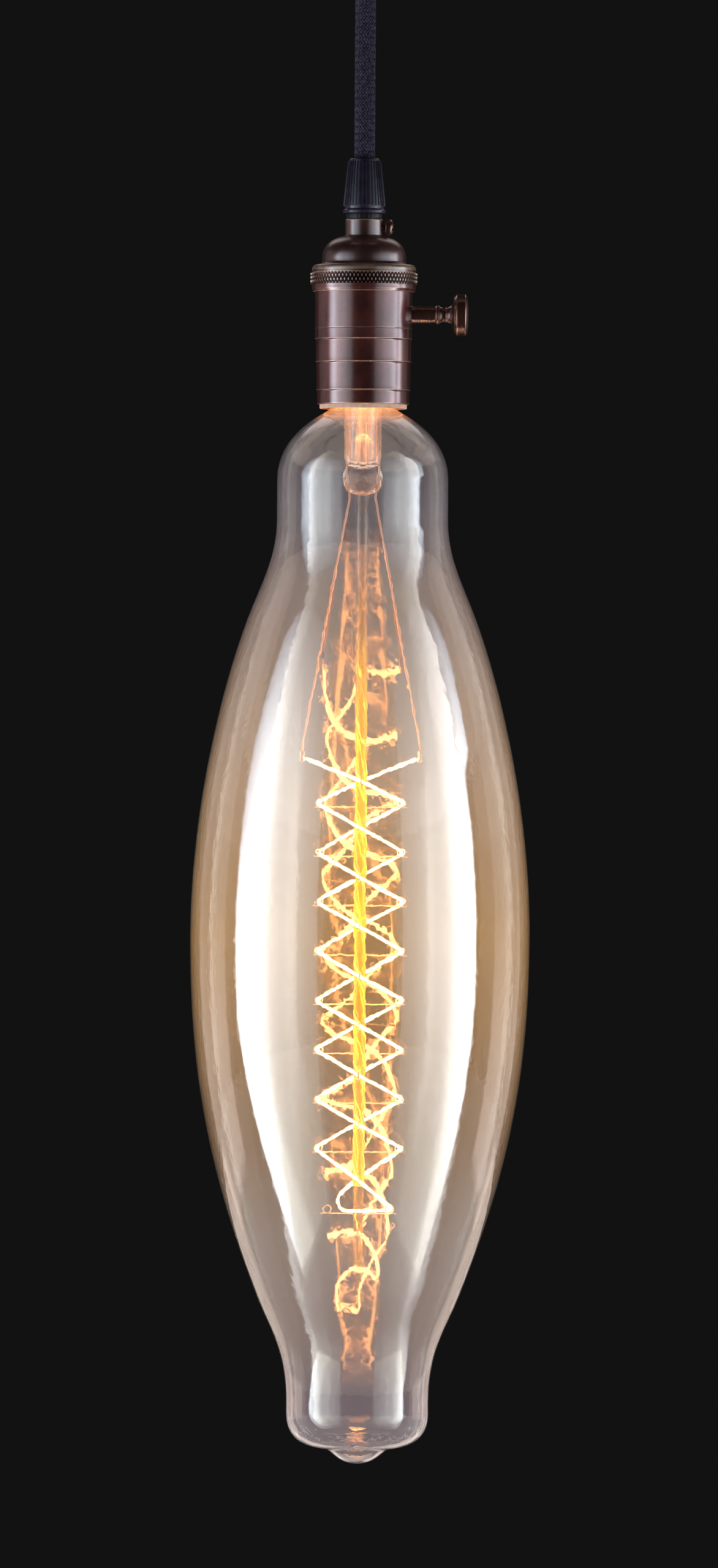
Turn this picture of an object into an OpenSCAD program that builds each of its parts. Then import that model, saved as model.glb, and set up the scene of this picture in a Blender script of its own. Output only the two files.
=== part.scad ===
// A large teardrop filament bulb in a turn-knob lampholder, hung from a ceiling cap by a straight cord.
// Millimetres, Z up. The ceiling is the plane Z = 0 and everything hangs below it on the Z axis.
// The switch knob points along +X, and the bulb unscrews downwards with a right-hand thread.

/* [Ceiling cap] */
// Diameter of the ceiling cap at its rim
canopy_d = 110; // [104:2:132]
// Depth of the ceiling cap
canopy_h = 24; // [20:1:36]
// Thickness of the spun metal of the ceiling cap
canopy_wall = 1.2; // [0.8:0.1:2]
// Width of the steel crossbar
crossbar_w = 16; // [12:1:24]
// Thickness of the steel crossbar
crossbar_t = 2; // [1.5:0.25:3]
// Distance between the middles of the two slots for the ceiling box screws
slot_spacing = 79.5; // [72:0.5:84]
// Length of each slot, end to end
slot_l = 14; // [8:1:16]
// Width of each slot
slot_w = 4.6; // [3.6:0.1:5.2]

/* [Cord and its grips] */
// Diameter of the cloth covered cord
cord_d = 8; // [6:0.25:10]
// Free length of the cord between the faces of its two grips
cord_l = 64; // [40:1:400]
// Height of a ribbed cord grip without its threaded stud
grip_h = 20.5; // [16:0.5:30]
// Diameter of a cord grip where the cord leaves it
grip_tip_d = 11.5; // [11:0.25:14]
// Diameter of a cord grip at the foot of its taper
grip_foot_d = 15; // [14.5:0.25:18]
// Ribs round a cord grip
grip_ribs = 34; // [12:1:40]
// Outside diameter of the threaded stud
stud_d = 9.8; // [8:0.1:12]

/* [Lampholder cap] */
// Height of the thin grooved nut between grip and neck
grip_nut_h = 2.1; // [1.5:0.1:3]
// Wall of the neck round the threaded stud
neck_wall = 1.9; // [1.2:0.1:3]
// Height of the neck
neck_h = 6.4; // [5.5:0.1:9]
// How far the foot of the dome stands in from the side of the shell
dome_inset = 2.5; // [1.5:0.1:4]
// Height of the dome
dome_h = 10.8; // [9:0.1:14]
// How far the shoulder under the dome stands out from the side of the shell
shoulder_proud = 1.3; // [0.8:0.1:2]
// Height of the shoulder
shoulder_h = 3.2; // [2.5:0.1:5]
// Thickness of the brass sheet of cap and shell
brass_t = 0.6; // [0.4:0.05:0.9]
// Diameter of the disc head of the side screw
side_screw_d = 6.2; // [4:0.1:7]

/* [Lampholder body] */
// How far the knurled ring stands out from the side of the shell
ring_proud = 1.8; // [1.4:0.1:3]
// Height of the knurled band
band_h = 4.6; // [4:0.1:7]
// Height of the plain lip under the band
lip_h = 2.5; // [2:0.1:4]
// Drop in radius at each of the three rolled steps of the shell
shell_step = 0.32; // [0.1:0.02:0.5]
// Length of cardboard liner that shows below the mouth of the shell
liner_show = 1.9; // [0:0.1:3]
// Thickness of the cardboard liner
liner_t = 0.9; // [0.5:0.1:1.5]
// Wall of the moulded core outside the metal cup that takes the bulb
core_wall = 1.05; // [0.8:0.05:2]
// Thickness of the moulded core under the chamber of the switch
core_floor = 2; // [1.5:0.1:6]

/* [Switch knob] */
// Distance from the foot of the ring down to the axis of the knob
knob_drop = 8.4; // [6:0.1:10]
// Diameter of the knob's stem
stem_d = 6.6; // [5:0.1:8]
// Distance from the lamp's axis to the face of the knob
knob_reach = 39.4; // [34:0.2:46]
// Diameter of the knob's disc
knob_d = 15.6; // [12:0.2:20]
// Thickness of the knob's disc
knob_t = 5.5; // [4:0.1:8]

/* [Bulb] */
// Diameter of the bulb at its widest
bulb_d = 127.4; // [105:0.2:150]
// Length of the glass that shows below the lampholder
glass_l = 395; // [320:1:460]
// Diameter of the upper neck
neck_glass_d = 64.2; // [52:0.2:72]
// Diameter of the lower neck
tail_d = 53.4; // [44:0.2:62]
// Thickness of the glass
glass_t = 0.7; // [0.5:0.05:1.1]
// Diameter of the screw base
base_d = 26; // [22:0.25:32]
// Height of the screw base from its rim to the tip of its contact
base_h = 26.4; // [22:0.2:32]
// Diameter of the glass stem tube
stem_tube_d = 14; // [12:0.2:16]
// Length of the stem tube that shows in the neck
stem_tube_l = 20.3; // [14:0.1:30]
// Height of the pressed glass seal at its end
press_h = 11; // [8:0.1:16]
// Diameter of the long glass rod
rod_d = 4.4; // [3.4:0.1:6]

/* [Filament] */
// Diameter of the coiled filament
filament_d = 1.6; // [0.8:0.1:2]
// Distance from the glass rod's axis to the filament at its supports
cage_r = 16; // [12:0.25:20]
// The same distance at the narrower bottom turn
cage_end_r = 12.2; // [9:0.1:15]
// Distance down from the top of the glass to the ends of the filament
cage_drop = 130.6; // [110:0.2:150]
// Drop of the first half turn, from the lead wires to the first cross wire
first_fall = 16.5; // [12:0.1:24]
// Drop of each half turn in the cage
half_turn_fall = 18.5; // [14:0.1:20]
// Drop of the last half turn, to the bottom turn
last_fall = 23; // [16:0.1:26]
// Half turns of equal drop in the cage
half_turns = 7; // [4:1:8]
// Distance from the axis to the ends of the lead wires
lead_r = 20.5; // [18:0.25:24]
// Diameter of the lead wires
lead_d = 0.9; // [0.6:0.1:1.2]
// Diameter of the support wires
support_d = 0.5; // [0.4:0.05:0.8]

/* [Hidden] */
$fn = 64;

// Clearances
touch_gap = 0.3;
run_gap = 0.1;
bore_gap = 0.4;
fit_gap = 0.05;

// Screws that hold the ceiling cap to its crossbar
canopy_screw_d = 4;
canopy_screw_drop = 6;
ear_t = crossbar_t;
ear_half_l = canopy_d / 2 - canopy_wall - 1.6;

// Walls and clearances outwards from the bulb's base to the outside of the lampholder
base_gap = 0.35;
screw_shell_t = 0.4;
screw_shell_bore_d = base_d + 2 * base_gap;
screw_shell_d = screw_shell_bore_d + 2 * screw_shell_t;
core_d = screw_shell_d + 2 * core_wall;
core_gap = 0.64;
liner_bore_d = core_d + 2 * core_gap;
liner_d = liner_bore_d + 2 * liner_t;
mouth_d = liner_d + 2 * touch_gap + 2 * brass_t;
shell_d = mouth_d + 6 * shell_step;
ring_d = shell_d + 2 * ring_proud;
shoulder_d = shell_d + 2 * shoulder_proud;
dome_d = shell_d - 2 * dome_inset;

// Neck, locknuts and stud
neck_bore_d = stud_d + 2 * touch_gap;
neck_d = neck_bore_d + 2 * neck_wall;
cap_top_t = brass_t + 0.3;
locknut_h = 2.4;
locknut_d = stud_d + 4.2;
ceiling_nut_d = stud_d + 7.2;
stud_past = 0.2;
stud_l = grip_nut_h + neck_h + cap_top_t + locknut_h + stud_past;

// Levels of the cord and its grips
ceiling_face_z = -canopy_h - grip_h;
holder_face_z = ceiling_face_z - cord_l;
swing_cup_r = cord_d / 2 + touch_gap;

// Cord grip
grip_flange_d = grip_foot_d + 1.1;
grip_flange_h = 1.4;
grip_bore_d = 5.8;
rib_w = 0.6;
rib_h = 0.4;

// Levels of the lampholder cap
grip_nut_z = holder_face_z - grip_h;
neck_top_z = grip_nut_z - grip_nut_h;
dome_top_z = neck_top_z - neck_h;
shoulder_z = dome_top_z - dome_h;
shoulder_foot_z = shoulder_z - shoulder_h;
skirt_h = 3.4;
side_screw_z = neck_top_z - neck_h / 2;
side_screw_shank_d = 3;
side_screw_head_h = 3;
screw_slot_w = 1;
screw_slot_depth = 0.9;

// Levels of the ring
ring_top_z = shoulder_foot_z;
ring_seat_z = ring_top_z - skirt_h - brass_t;
ring_foot_z = ring_top_z - band_h - lip_h;
ring_bore_d = shell_d + 2 * touch_gap;
flange_d = shell_d + 1.6;
ring_room_d = flange_d + 2 * touch_gap;

// Switch and core
knob_z = ring_foot_z - knob_drop;
shaft_d = 3.9;
cam_w = 7.6;
cam_d = 10;
cam_l = 12;
cam_room_w = cam_d + 2 * touch_gap + 0.8;
cam_room_l = cam_l + 2 * touch_gap;
bearing_l = 3;
spring_t = 0.4;
core_top_z = ring_top_z - 1.5;
core_foot_z = knob_z - cam_room_w / 2 - core_floor;
terminal_head_d = 5;
terminal_head_h = 1.8;
terminal_shank_d = 2.6;
terminal_shank_l = 4;
terminal_lift = 0.6;
terminal_r = core_d / 2 - terminal_head_d / 2 - 1.33;
terminal_angle = 43;
terminal_x = -terminal_r * cos(terminal_angle);
terminal_y = terminal_r * sin(terminal_angle);
conductor_d = 2.2;
conductor_gap = 1.4;

// Levels downwards from the core to the glass and back up to the mouth of the shell
contact_room = 2.2;
contact_tip_z = core_foot_z - contact_room;
glass_top_z = contact_tip_z - base_h;
liner_foot_z = glass_top_z + 0.5;
liner_top_z = ring_seat_z;
mouth_z = liner_foot_z + liner_show;
step_z = [mouth_z + 24.3, mouth_z + 15.7, mouth_z + 5.1];
screw_shell_foot_z = glass_top_z + 3;

// Screw base of the bulb
base_t = 0.35;
base_rim_z = glass_top_z + 1;
base_crown = 2;
cement_t = 1.05;
contact_h = 1.4;
contact_d = 9.4;
insulator_h = 3.6;
insulator_foot_d = base_d - 2 * base_crown;
base_top_z = contact_tip_z - contact_h - insulator_h;
lead_room = 7.4;
neck_in_d = base_d - 2 * base_t - 2 * cement_t;
neck_in_top_z = base_top_z - lead_room;
flare_t = 1;
exhaust_d = 4.7;
exhaust_bore_d = 3.1;
exhaust_tip_z = neck_in_top_z + 3.2;

// Stem, press and rod
press_top_z = glass_top_z - stem_tube_l;
press_foot_z = press_top_z - press_h;
press_d = stem_tube_d + 1.2;
lead_x = stem_tube_d / 2 - flare_t - 1.2;
cage_foot_z = glass_top_z - cage_drop - first_fall - half_turns * half_turn_fall - last_fall;
rod_foot_z = cage_foot_z + 8.7;

// Filament supports: support 0 is the pair of lead ends, and the last is the bottom turn
supports = 2 * half_turns + 4;
eye_r = filament_d / 2 + support_d / 2 + 0.45;
tail_l = 2.2;
corner_leg = 4.5;
corner_inset = corner_leg * 0.33;
rings_per_corner = 5;
tube_sides = 6;
clamp_d = lead_d + 1;
clamp_x = lead_r + clamp_d / 2 + filament_d * 0.36 + run_gap;

// Point on a curve with four control points
function bezier(p, t) =
  pow(1 - t, 3) * p[0] + 3 * t * pow(1 - t, 2) * p[1] + 3 * t * t * (1 - t) * p[2] + t * t * t * p[3];
// The points of such a curve after its first one
function curve(p, steps) = [for (i = [1:steps]) bezier(p, i / steps)];
function reversed(list) = [for (i = [len(list) - 1:-1:0]) list[i]];

function unit(v) = v / norm(v);

// Three or more points joined by straight runs, with each corner rounded over a given leg
function rounded_corner(points, i, leg) =
  let (
    p = points[i],
    back = points[i - 1] - p,
    on = points[i + 1] - p,
    a = p + unit(back) * min(leg, norm(back) * 0.45),
    c = p + unit(on) * min(leg, norm(on) * 0.45))
  [for (j = [0:rings_per_corner - 1])
    let (t = j / (rings_per_corner - 1)) (1 - t) * (1 - t) * a + 2 * t * (1 - t) * p + t * t * c];
function rounded_path(points, leg) =
  let (last = len(points) - 1)
  concat(
    [points[0]],
    [for (i = [1:last - 1])
      each concat(rounded_corner(points, i, leg), i < last - 1 ? [(points[i] + points[i + 1]) / 2] : [])],
    [points[last]]);

// Ring of points round a path, square to it
function ring_at(path, i, d) =
  let (
    n = len(path) - 1,
    along = unit(path[min(i + 1, n)] - path[max(i - 1, 0)]),
    side = unit(cross(abs(along[2]) > 0.8 ? [0, 1, 0] : [0, 0, 1], along)),
    up = cross(along, side))
  [for (j = [0:tube_sides - 1])
    path[i] + d / 2 * (cos(360 * j / tube_sides) * side + sin(360 * j / tube_sides) * up)];

module swept_tube(path, d) {
  n = len(path);
  m = tube_sides;
  points = [for (i = [0:n - 1], p = ring_at(path, i, d)) p];
  sides = [for (i = [0:n - 2], j = [0:m - 1])
    let (a = i * m + j, b = i * m + (j + 1) % m) each [[a, b, b + m], [a, b + m, a + m]]];
  ends = [for (j = [1:m - 2]) each [[0, j + 1, j], [(n - 1) * m, (n - 1) * m + j, (n - 1) * m + j + 1]]];
  polyhedron(points = points, faces = concat(sides, ends), convexity = 10);
}

module bent_wire(points, d) {
  swept_tube(rounded_path(points, 2.2 * d), d);
}

// Ribbed taper that grips the cord. Its open end faces +Z at Z = 0 and its stud points down.
module ribbed_grip() {
  taper_h = grip_h - 2.6;
  flange_top_z = -grip_h + grip_flange_h;
  taper_angle = atan((grip_foot_d - grip_tip_d) / 2 / taper_h);
  difference() {
    union() {
      rotate_extrude() polygon(concat(
        [[0, 0], [grip_tip_d / 2 - 0.4, 0], [grip_tip_d / 2, -0.4], [grip_foot_d / 2, -taper_h]],
        curve([[grip_foot_d / 2, -taper_h], [grip_foot_d / 2, -taper_h - 0.8],
          [grip_foot_d / 2 - 0.2, flange_top_z], [grip_flange_d / 2 - 0.3, flange_top_z]], 5),
        [[grip_flange_d / 2, flange_top_z - 0.3], [grip_flange_d / 2, -grip_h],
          [stud_d / 2, -grip_h], [stud_d / 2, -grip_h - stud_l], [0, -grip_h - stud_l]]));
      for (i = [0:grip_ribs - 1]) rotate([0, 0, i * 360 / grip_ribs])
        translate([grip_tip_d / 2, 0, -1.2]) rotate([0, -taper_angle, 0])
          translate([-1, -rib_w / 2, -taper_h + 2]) cube([1 + rib_h, rib_w, taper_h - 2]);
    }
    sphere(r = swing_cup_r, $fn = 96);
    translate([0, 0, -grip_h - stud_l - 1]) cylinder(d = grip_bore_d, h = grip_h + stud_l);
  }
}

// Cutter for the slot in a screw head whose end is the plane Z = 0
module screw_slot(head_d) {
  translate([-head_d / 2 - 1, -screw_slot_w / 2, -screw_slot_depth])
    cube([head_d + 2, screw_slot_w, screw_slot_depth + 1]);
}

// Six-sided nut with its top face at Z = 0
module hex_nut(across, bore, h) {
  translate([0, 0, -h]) difference() {
    intersection() {
      cylinder(d = across, h = h, $fn = 6);
      cylinder(d1 = across * 0.97, d2 = across * 1.06, h = h);
    }
    translate([0, 0, -1]) cylinder(d = bore, h = h + 2);
  }
}

module canopy() {
  r = canopy_d / 2;
  t = canopy_wall;
  hole_r = stud_d / 2 + touch_gap;
  wall_h = canopy_h * 0.38;
  flat_r = r * 0.55;
  color([0.20, 0.14, 0.11]) difference() {
    rotate_extrude($fn = 96) polygon(concat(
      [[r + 0.9, 0], [r + 0.9, -1.4], [r, -2.2], [r, -wall_h]],
      curve([[r, -wall_h], [r, -canopy_h * 0.72], [r * 0.82, -canopy_h], [flat_r, -canopy_h]], 12),
      [[hole_r, -canopy_h], [hole_r, -canopy_h + t], [flat_r, -canopy_h + t]],
      reversed(curve([[r - t, -wall_h], [r - t, -canopy_h * 0.72 + t / 2],
        [r * 0.82 - t / 2, -canopy_h + t], [flat_r, -canopy_h + t]], 11)),
      [[r - t, -wall_h], [r - t, 0]]));
    for (side = [-1, 1])
      translate([side * (r - t - 2), 0, -canopy_screw_drop]) rotate([0, side * 90, 0])
        cylinder(d = canopy_screw_d + touch_gap, h = 8);
  }
}

module crossbar() {
  half_l = ear_half_l;
  ear_h = canopy_screw_drop + 5;
  color([0.62, 0.63, 0.65]) difference() {
    union() {
      translate([-half_l, -crossbar_w / 2, -crossbar_t]) cube([2 * half_l, crossbar_w, crossbar_t]);
      for (side = [0, 180]) rotate([0, 0, side])
        translate([half_l - ear_t, -crossbar_w / 2, -ear_h]) cube([ear_t, crossbar_w, ear_h]);
    }
    for (side = [-1, 1]) translate([side * slot_spacing / 2, 0, -crossbar_t - 1]) {
      reach = (slot_l - slot_w) / 2;
      for (end = [-1, 1]) translate([end * reach, 0, 0]) cylinder(d = slot_w, h = crossbar_t + 2);
      translate([-reach, -slot_w / 2, 0]) cube([2 * reach, slot_w, crossbar_t + 2]);
    }
    for (side = [-1, 1]) translate([side * (half_l - ear_t - 1), 0, -canopy_screw_drop])
      rotate([0, side * 90, 0]) cylinder(d = canopy_screw_d + 2 * fit_gap, h = ear_t + 2);
  }
}

module canopy_screws() {
  head_x = canopy_d / 2 + 0.2;
  head_d = 7.6;
  head_r = 6.6;
  head_h = 2.2;
  shank_l = 8;
  color([0.55, 0.42, 0.26]) for (side = [0, 180]) rotate([0, 0, side])
    translate([head_x, 0, -canopy_screw_drop]) rotate([0, 90, 0]) {
      translate([0, 0, -shank_l]) cylinder(d = canopy_screw_d, h = shank_l);
      difference() {
        intersection() {
          translate([0, 0, head_h - head_r]) sphere(r = head_r);
          cylinder(d = head_d, h = head_h);
        }
        translate([0, 0, head_h]) screw_slot(head_d);
      }
    }
}

module ceiling_grip() {
  color([0.06, 0.06, 0.06]) translate([0, 0, ceiling_face_z]) mirror([0, 0, 1]) ribbed_grip();
}

module ceiling_locknut() {
  color([0.62, 0.63, 0.65]) translate([0, 0, -canopy_h + canopy_wall + locknut_h])
    hex_nut(ceiling_nut_d, stud_d + 2 * fit_gap, locknut_h);
}

// The cord hangs straight. Each end is a ball in the cup of its grip, so the cord can swing there.
module cord() {
  color([0.11, 0.11, 0.16]) union() {
    translate([0, 0, holder_face_z]) cylinder(d = cord_d, h = cord_l);
    for (z = [holder_face_z, ceiling_face_z]) translate([0, 0, z]) sphere(d = cord_d);
  }
}

module cord_grip() {
  color([0.06, 0.06, 0.06]) translate([0, 0, holder_face_z]) ribbed_grip();
}

module grip_nut() {
  grooves = 20;
  r = neck_d / 2;
  color([0.12, 0.10, 0.09]) translate([0, 0, neck_top_z]) difference() {
    rotate_extrude() polygon([[neck_bore_d / 2, 0], [r - 0.5, 0], [r - 0.1, 0.4],
      [r - 0.1, grip_nut_h - 0.4], [r - 0.5, grip_nut_h], [neck_bore_d / 2, grip_nut_h]]);
    for (i = [0:grooves - 1]) rotate([0, 0, i * 360 / grooves])
      translate([r + 0.2, 0, -1]) cylinder(d = 1.2, h = grip_nut_h + 2, $fn = 16);
  }
}

module socket_cap() {
  nr = neck_d / 2;
  dr = dome_d / 2;
  sr = shoulder_d / 2;
  kr = shell_d / 2;
  t = brass_t;
  bore = neck_bore_d / 2;
  dome_foot = shoulder_z + 1.2;
  color([0.22, 0.15, 0.11]) difference() {
    rotate_extrude($fn = 96) polygon(concat(
      [[bore, neck_top_z], [nr - 0.4, neck_top_z], [nr, neck_top_z - 0.4], [nr, dome_top_z]],
      curve([[nr, dome_top_z], [nr + 3.3, dome_top_z - 0.6],
        [dr, dome_top_z - 2.4], [dr, dome_top_z - dome_h * 0.8]], 10),
      [[dr, dome_foot]],
      curve([[dr, dome_foot], [dr, shoulder_z + 0.2], [dr + 0.6, shoulder_z], [dr + 1.2, shoulder_z]], 4),
      curve([[dr + 1.2, shoulder_z], [sr - 0.6, shoulder_z],
        [sr, shoulder_z - 0.6], [sr, shoulder_z - 2]], 6),
      [[sr, shoulder_foot_z], [kr, shoulder_foot_z], [kr, shoulder_foot_z - skirt_h],
        [kr - t, shoulder_foot_z - skirt_h], [kr - t, shoulder_z - 1.2], [dr - t, shoulder_z - 1.2],
        [dr - t, dome_top_z - dome_h * 0.8]],
      reversed(curve([[nr, dome_top_z - cap_top_t], [nr + 3, dome_top_z - t - 0.8],
        [dr - t, dome_top_z - 2.4 - t], [dr - t, dome_top_z - dome_h * 0.8]], 9)),
      [[nr, dome_top_z - cap_top_t], [bore, dome_top_z - cap_top_t]]));
    translate([0, 0, side_screw_z]) rotate([0, 90, 0])
      cylinder(d = side_screw_shank_d + bore_gap, h = nr + 1);
  }
}

module cap_locknut() {
  color([0.62, 0.63, 0.65]) translate([0, 0, dome_top_z - cap_top_t])
    hex_nut(locknut_d, stud_d + 2 * fit_gap, locknut_h);
}

module side_screw() {
  shank_x = stud_d / 2 + fit_gap;
  head_x = neck_d / 2 + 0.3;
  shank_r = side_screw_shank_d / 2;
  end_x = head_x + side_screw_head_h;
  color([0.25, 0.17, 0.12]) translate([0, 0, side_screw_z]) rotate([0, 90, 0]) difference() {
    rotate_extrude() polygon([
      [0, shank_x], [shank_r, shank_x], [shank_r, head_x], [side_screw_d / 2 - 0.3, head_x],
      [side_screw_d / 2, head_x + 0.3], [side_screw_d / 2, end_x - 0.8],
      [side_screw_d / 2 - 0.8, end_x], [0, end_x]]);
    translate([0, 0, end_x]) screw_slot(side_screw_d);
  }
}

// The ring hangs from the cap's skirt and its inner ledge carries the flange of the shell
module ring_nut() {
  rr = ring_d / 2;
  room = ring_room_d / 2;
  color([0.26, 0.18, 0.13]) rotate_extrude($fn = 96) polygon([
    [shell_d / 2 + run_gap, ring_top_z], [rr - 0.4, ring_top_z], [rr, ring_top_z - 0.4],
    [rr, ring_top_z - band_h + 0.3], [rr - 0.5, ring_top_z - band_h], [rr - 0.5, ring_foot_z + 0.9],
    [rr - 0.9, ring_foot_z], [ring_bore_d / 2, ring_foot_z], [ring_bore_d / 2, ring_seat_z],
    [room, ring_seat_z], [room, ring_seat_z + brass_t + touch_gap],
    [shell_d / 2 + run_gap, ring_seat_z + brass_t + 2 * touch_gap]]);
}

// Stepped brass shell with an outward flange at the top, a scribed line, and a small bead above each step
module socket_shell() {
  r0 = shell_d / 2;
  r1 = r0 - shell_step;
  r2 = r1 - shell_step;
  r3 = mouth_d / 2;
  t = brass_t;
  s = 0.35;
  bead = 0.12;
  line_z = step_z[0] + 4.2;
  line_w = 0.3;
  color([0.24, 0.17, 0.12]) difference() {
    rotate_extrude($fn = 96) polygon([
      [flange_d / 2, ring_seat_z + t], [flange_d / 2, ring_seat_z], [r0, ring_seat_z],
      [r0, line_z + line_w / 2], [r0 - line_w / 2, line_z], [r0, line_z - line_w / 2],
      [r0, step_z[0] + 3 * s], [r0 + bead, step_z[0] + 2 * s], [r0 + bead, step_z[0] + s], [r1, step_z[0]],
      [r1, step_z[1] + 3 * s], [r1 + bead, step_z[1] + 2 * s], [r1 + bead, step_z[1] + s], [r2, step_z[1]],
      [r2, step_z[2] + 3 * s], [r2 + bead, step_z[2] + 2 * s], [r2 + bead, step_z[2] + s], [r3, step_z[2]],
      [r3, mouth_z + 0.3], [r3 - 0.3, mouth_z],
      [r3 - t, mouth_z], [r3 - t, step_z[2]], [r2 - t, step_z[2] + s], [r2 - t, step_z[1]],
      [r1 - t, step_z[1] + s], [r1 - t, step_z[0]], [r0 - t, step_z[0] + s], [r0 - t, ring_seat_z + t]]);
    translate([0, 0, knob_z]) rotate([0, 90, 0]) cylinder(d = stem_d + 2 * bore_gap, h = shell_d);
  }
}

module shell_liner() {
  color([0.85, 0.66, 0.52]) difference() {
    translate([0, 0, liner_foot_z]) cylinder(d = liner_d, h = liner_top_z - liner_foot_z, $fn = 96);
    translate([0, 0, liner_foot_z - 1])
      cylinder(d = liner_bore_d, h = liner_top_z - liner_foot_z + 2, $fn = 96);
    translate([0, 0, knob_z]) rotate([0, 90, 0]) cylinder(d = stem_d + 2 * bore_gap + 0.6, h = shell_d);
  }
}

// Moulded core: a chamber for the cam, bearings for the shaft, threaded holes for the terminals
module socket_core() {
  h = core_top_z - core_foot_z;
  r = core_d / 2;
  color([0.90, 0.88, 0.83]) difference() {
    rotate_extrude() polygon([[0, core_foot_z], [r - 0.6, core_foot_z], [r, core_foot_z + 0.6],
      [r, core_top_z - 1], [r - 1, core_top_z], [0, core_top_z]]);
    translate([-cam_room_l / 2, -cam_room_w / 2, knob_z - cam_room_w / 2])
      cube([cam_room_l, cam_room_w, h]);
    translate([0, 0, knob_z]) rotate([0, 90, 0]) cylinder(d = stem_d + 2 * run_gap, h = core_d);
    translate([-cam_room_l / 2 - bearing_l, 0, knob_z]) rotate([0, 90, 0])
      cylinder(d = shaft_d + 2 * run_gap, h = bearing_l + 1);
    for (side = [-1, 1]) translate([terminal_x, side * terminal_y, core_top_z - 5])
      cylinder(d = terminal_shank_d + 2 * fit_gap, h = 6);
    translate([cam_room_l / 2 - 1, -spring_t, core_top_z - 2]) cube([4, 2 * spring_t, 3]);
  }
}

// Metal cup that the bulb's base screws into, with a hole for the centre contact
module screw_shell() {
  r = screw_shell_d / 2;
  bore = screw_shell_bore_d / 2;
  t = screw_shell_t;
  roof_z = core_foot_z;
  roof_hole_r = 6;
  color([0.72, 0.60, 0.36]) rotate_extrude($fn = 96) polygon([
    [roof_hole_r, roof_z], [r - 1, roof_z], [r, roof_z - 1], [r, screw_shell_foot_z],
    [bore, screw_shell_foot_z], [bore, roof_z - 1 - t / 2], [bore - 0.8, roof_z - t],
    [roof_hole_r, roof_z - t]]);
}

// Spring tongue under the core that presses on the tip of the bulb's base
module centre_contact() {
  w = 5;
  tip = contact_tip_z + touch_gap;
  color([0.75, 0.58, 0.30]) translate([0, w / 2, 0]) rotate([90, 0, 0]) linear_extrude(height = w) polygon([
    [-4.5, core_foot_z], [-4.5, core_foot_z - spring_t], [-1.5, core_foot_z - spring_t],
    [1, tip], [3.2, tip], [3.6, tip + spring_t], [1.3, tip + spring_t], [-0.9, core_foot_z]]);
}

// Flat spring over the cam. Its foot stands in a slit of the core and its free end lies over the cam.
module switch_blade() {
  w = 3;
  t = spring_t;
  top = knob_z + cam_d / 2 + touch_gap;
  rise_x = cam_room_l / 2 - 0.6;
  foot_x = rise_x + 3.1;
  foot_z = core_top_z + 0.2;
  color([0.75, 0.58, 0.30]) translate([0, w / 2, 0]) rotate([90, 0, 0]) linear_extrude(height = w)
    polygon([[-4, top], [rise_x, top + 1], [rise_x, foot_z], [foot_x, foot_z], [foot_x, foot_z + t],
      [rise_x - t, foot_z + t], [rise_x - t, top + 1 + t], [-4, top + t]]);
}

module terminal_screws() {
  color([0.78, 0.66, 0.38]) for (side = [-1, 1]) translate([terminal_x, side * terminal_y, core_top_z]) {
    translate([0, 0, -terminal_shank_l]) cylinder(d = terminal_shank_d, h = terminal_shank_l + terminal_lift);
    translate([0, 0, terminal_lift]) difference() {
      cylinder(d = terminal_head_d, h = terminal_head_h);
      translate([0, 0, terminal_head_h]) screw_slot(terminal_head_d);
    }
  }
}

// Two insulated conductors from the cord's end through the grip to the terminals
module supply_leads() {
  y = conductor_gap;
  start_z = holder_face_z - swing_cup_r - 0.4;
  bend_z = holder_face_z - grip_h - stud_l - 3.5;
  color([0.30, 0.24, 0.20]) for (side = [-1, 1]) bent_wire([
    [0, side * y, start_z], [0, side * y, bend_z],
    [terminal_x + 4.2, side * (terminal_y - 0.4), core_top_z + terminal_head_h + 1.4],
    [terminal_x + terminal_head_d / 2 + 1.6, side * terminal_y, core_top_z + 1.4]], conductor_d);
}

// Four-sided snap cam on the knob's shaft
module switch_rotor() {
  color([0.55, 0.12, 0.08]) translate([-cam_l / 2, 0, knob_z]) rotate([0, 90, 0]) difference() {
    intersection() {
      translate([-cam_w / 2, -cam_w / 2, 0]) cube([cam_w, cam_w, cam_l]);
      cylinder(d = cam_d, h = cam_l);
    }
    translate([0, 0, -1]) cylinder(d = shaft_d + 2 * fit_gap, h = cam_l + 2);
  }
}

// Shaft and stem of the knob, turned in one piece, with a bead and a waist before the knob
module knob_stem() {
  bearing_x = -cam_room_l / 2 - bearing_l + 0.5;
  collar_x = cam_room_l / 2 + touch_gap;
  bead_x = knob_reach - knob_t - 6.3;
  seat_x = knob_reach - knob_t - 3;
  sr = stem_d / 2;
  color([0.36, 0.25, 0.18]) translate([0, 0, knob_z]) rotate([0, 90, 0]) rotate_extrude() polygon([
    [0, bearing_x], [shaft_d / 2, bearing_x], [shaft_d / 2, collar_x], [sr, collar_x],
    [sr, bead_x - 0.7], [sr + 0.35, bead_x - 0.2], [sr + 0.35, bead_x + 0.4], [sr - 0.2, bead_x + 0.9],
    [sr - 0.5, seat_x - 0.4], [sr - 0.5, seat_x], [0, seat_x]]);
}

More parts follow.
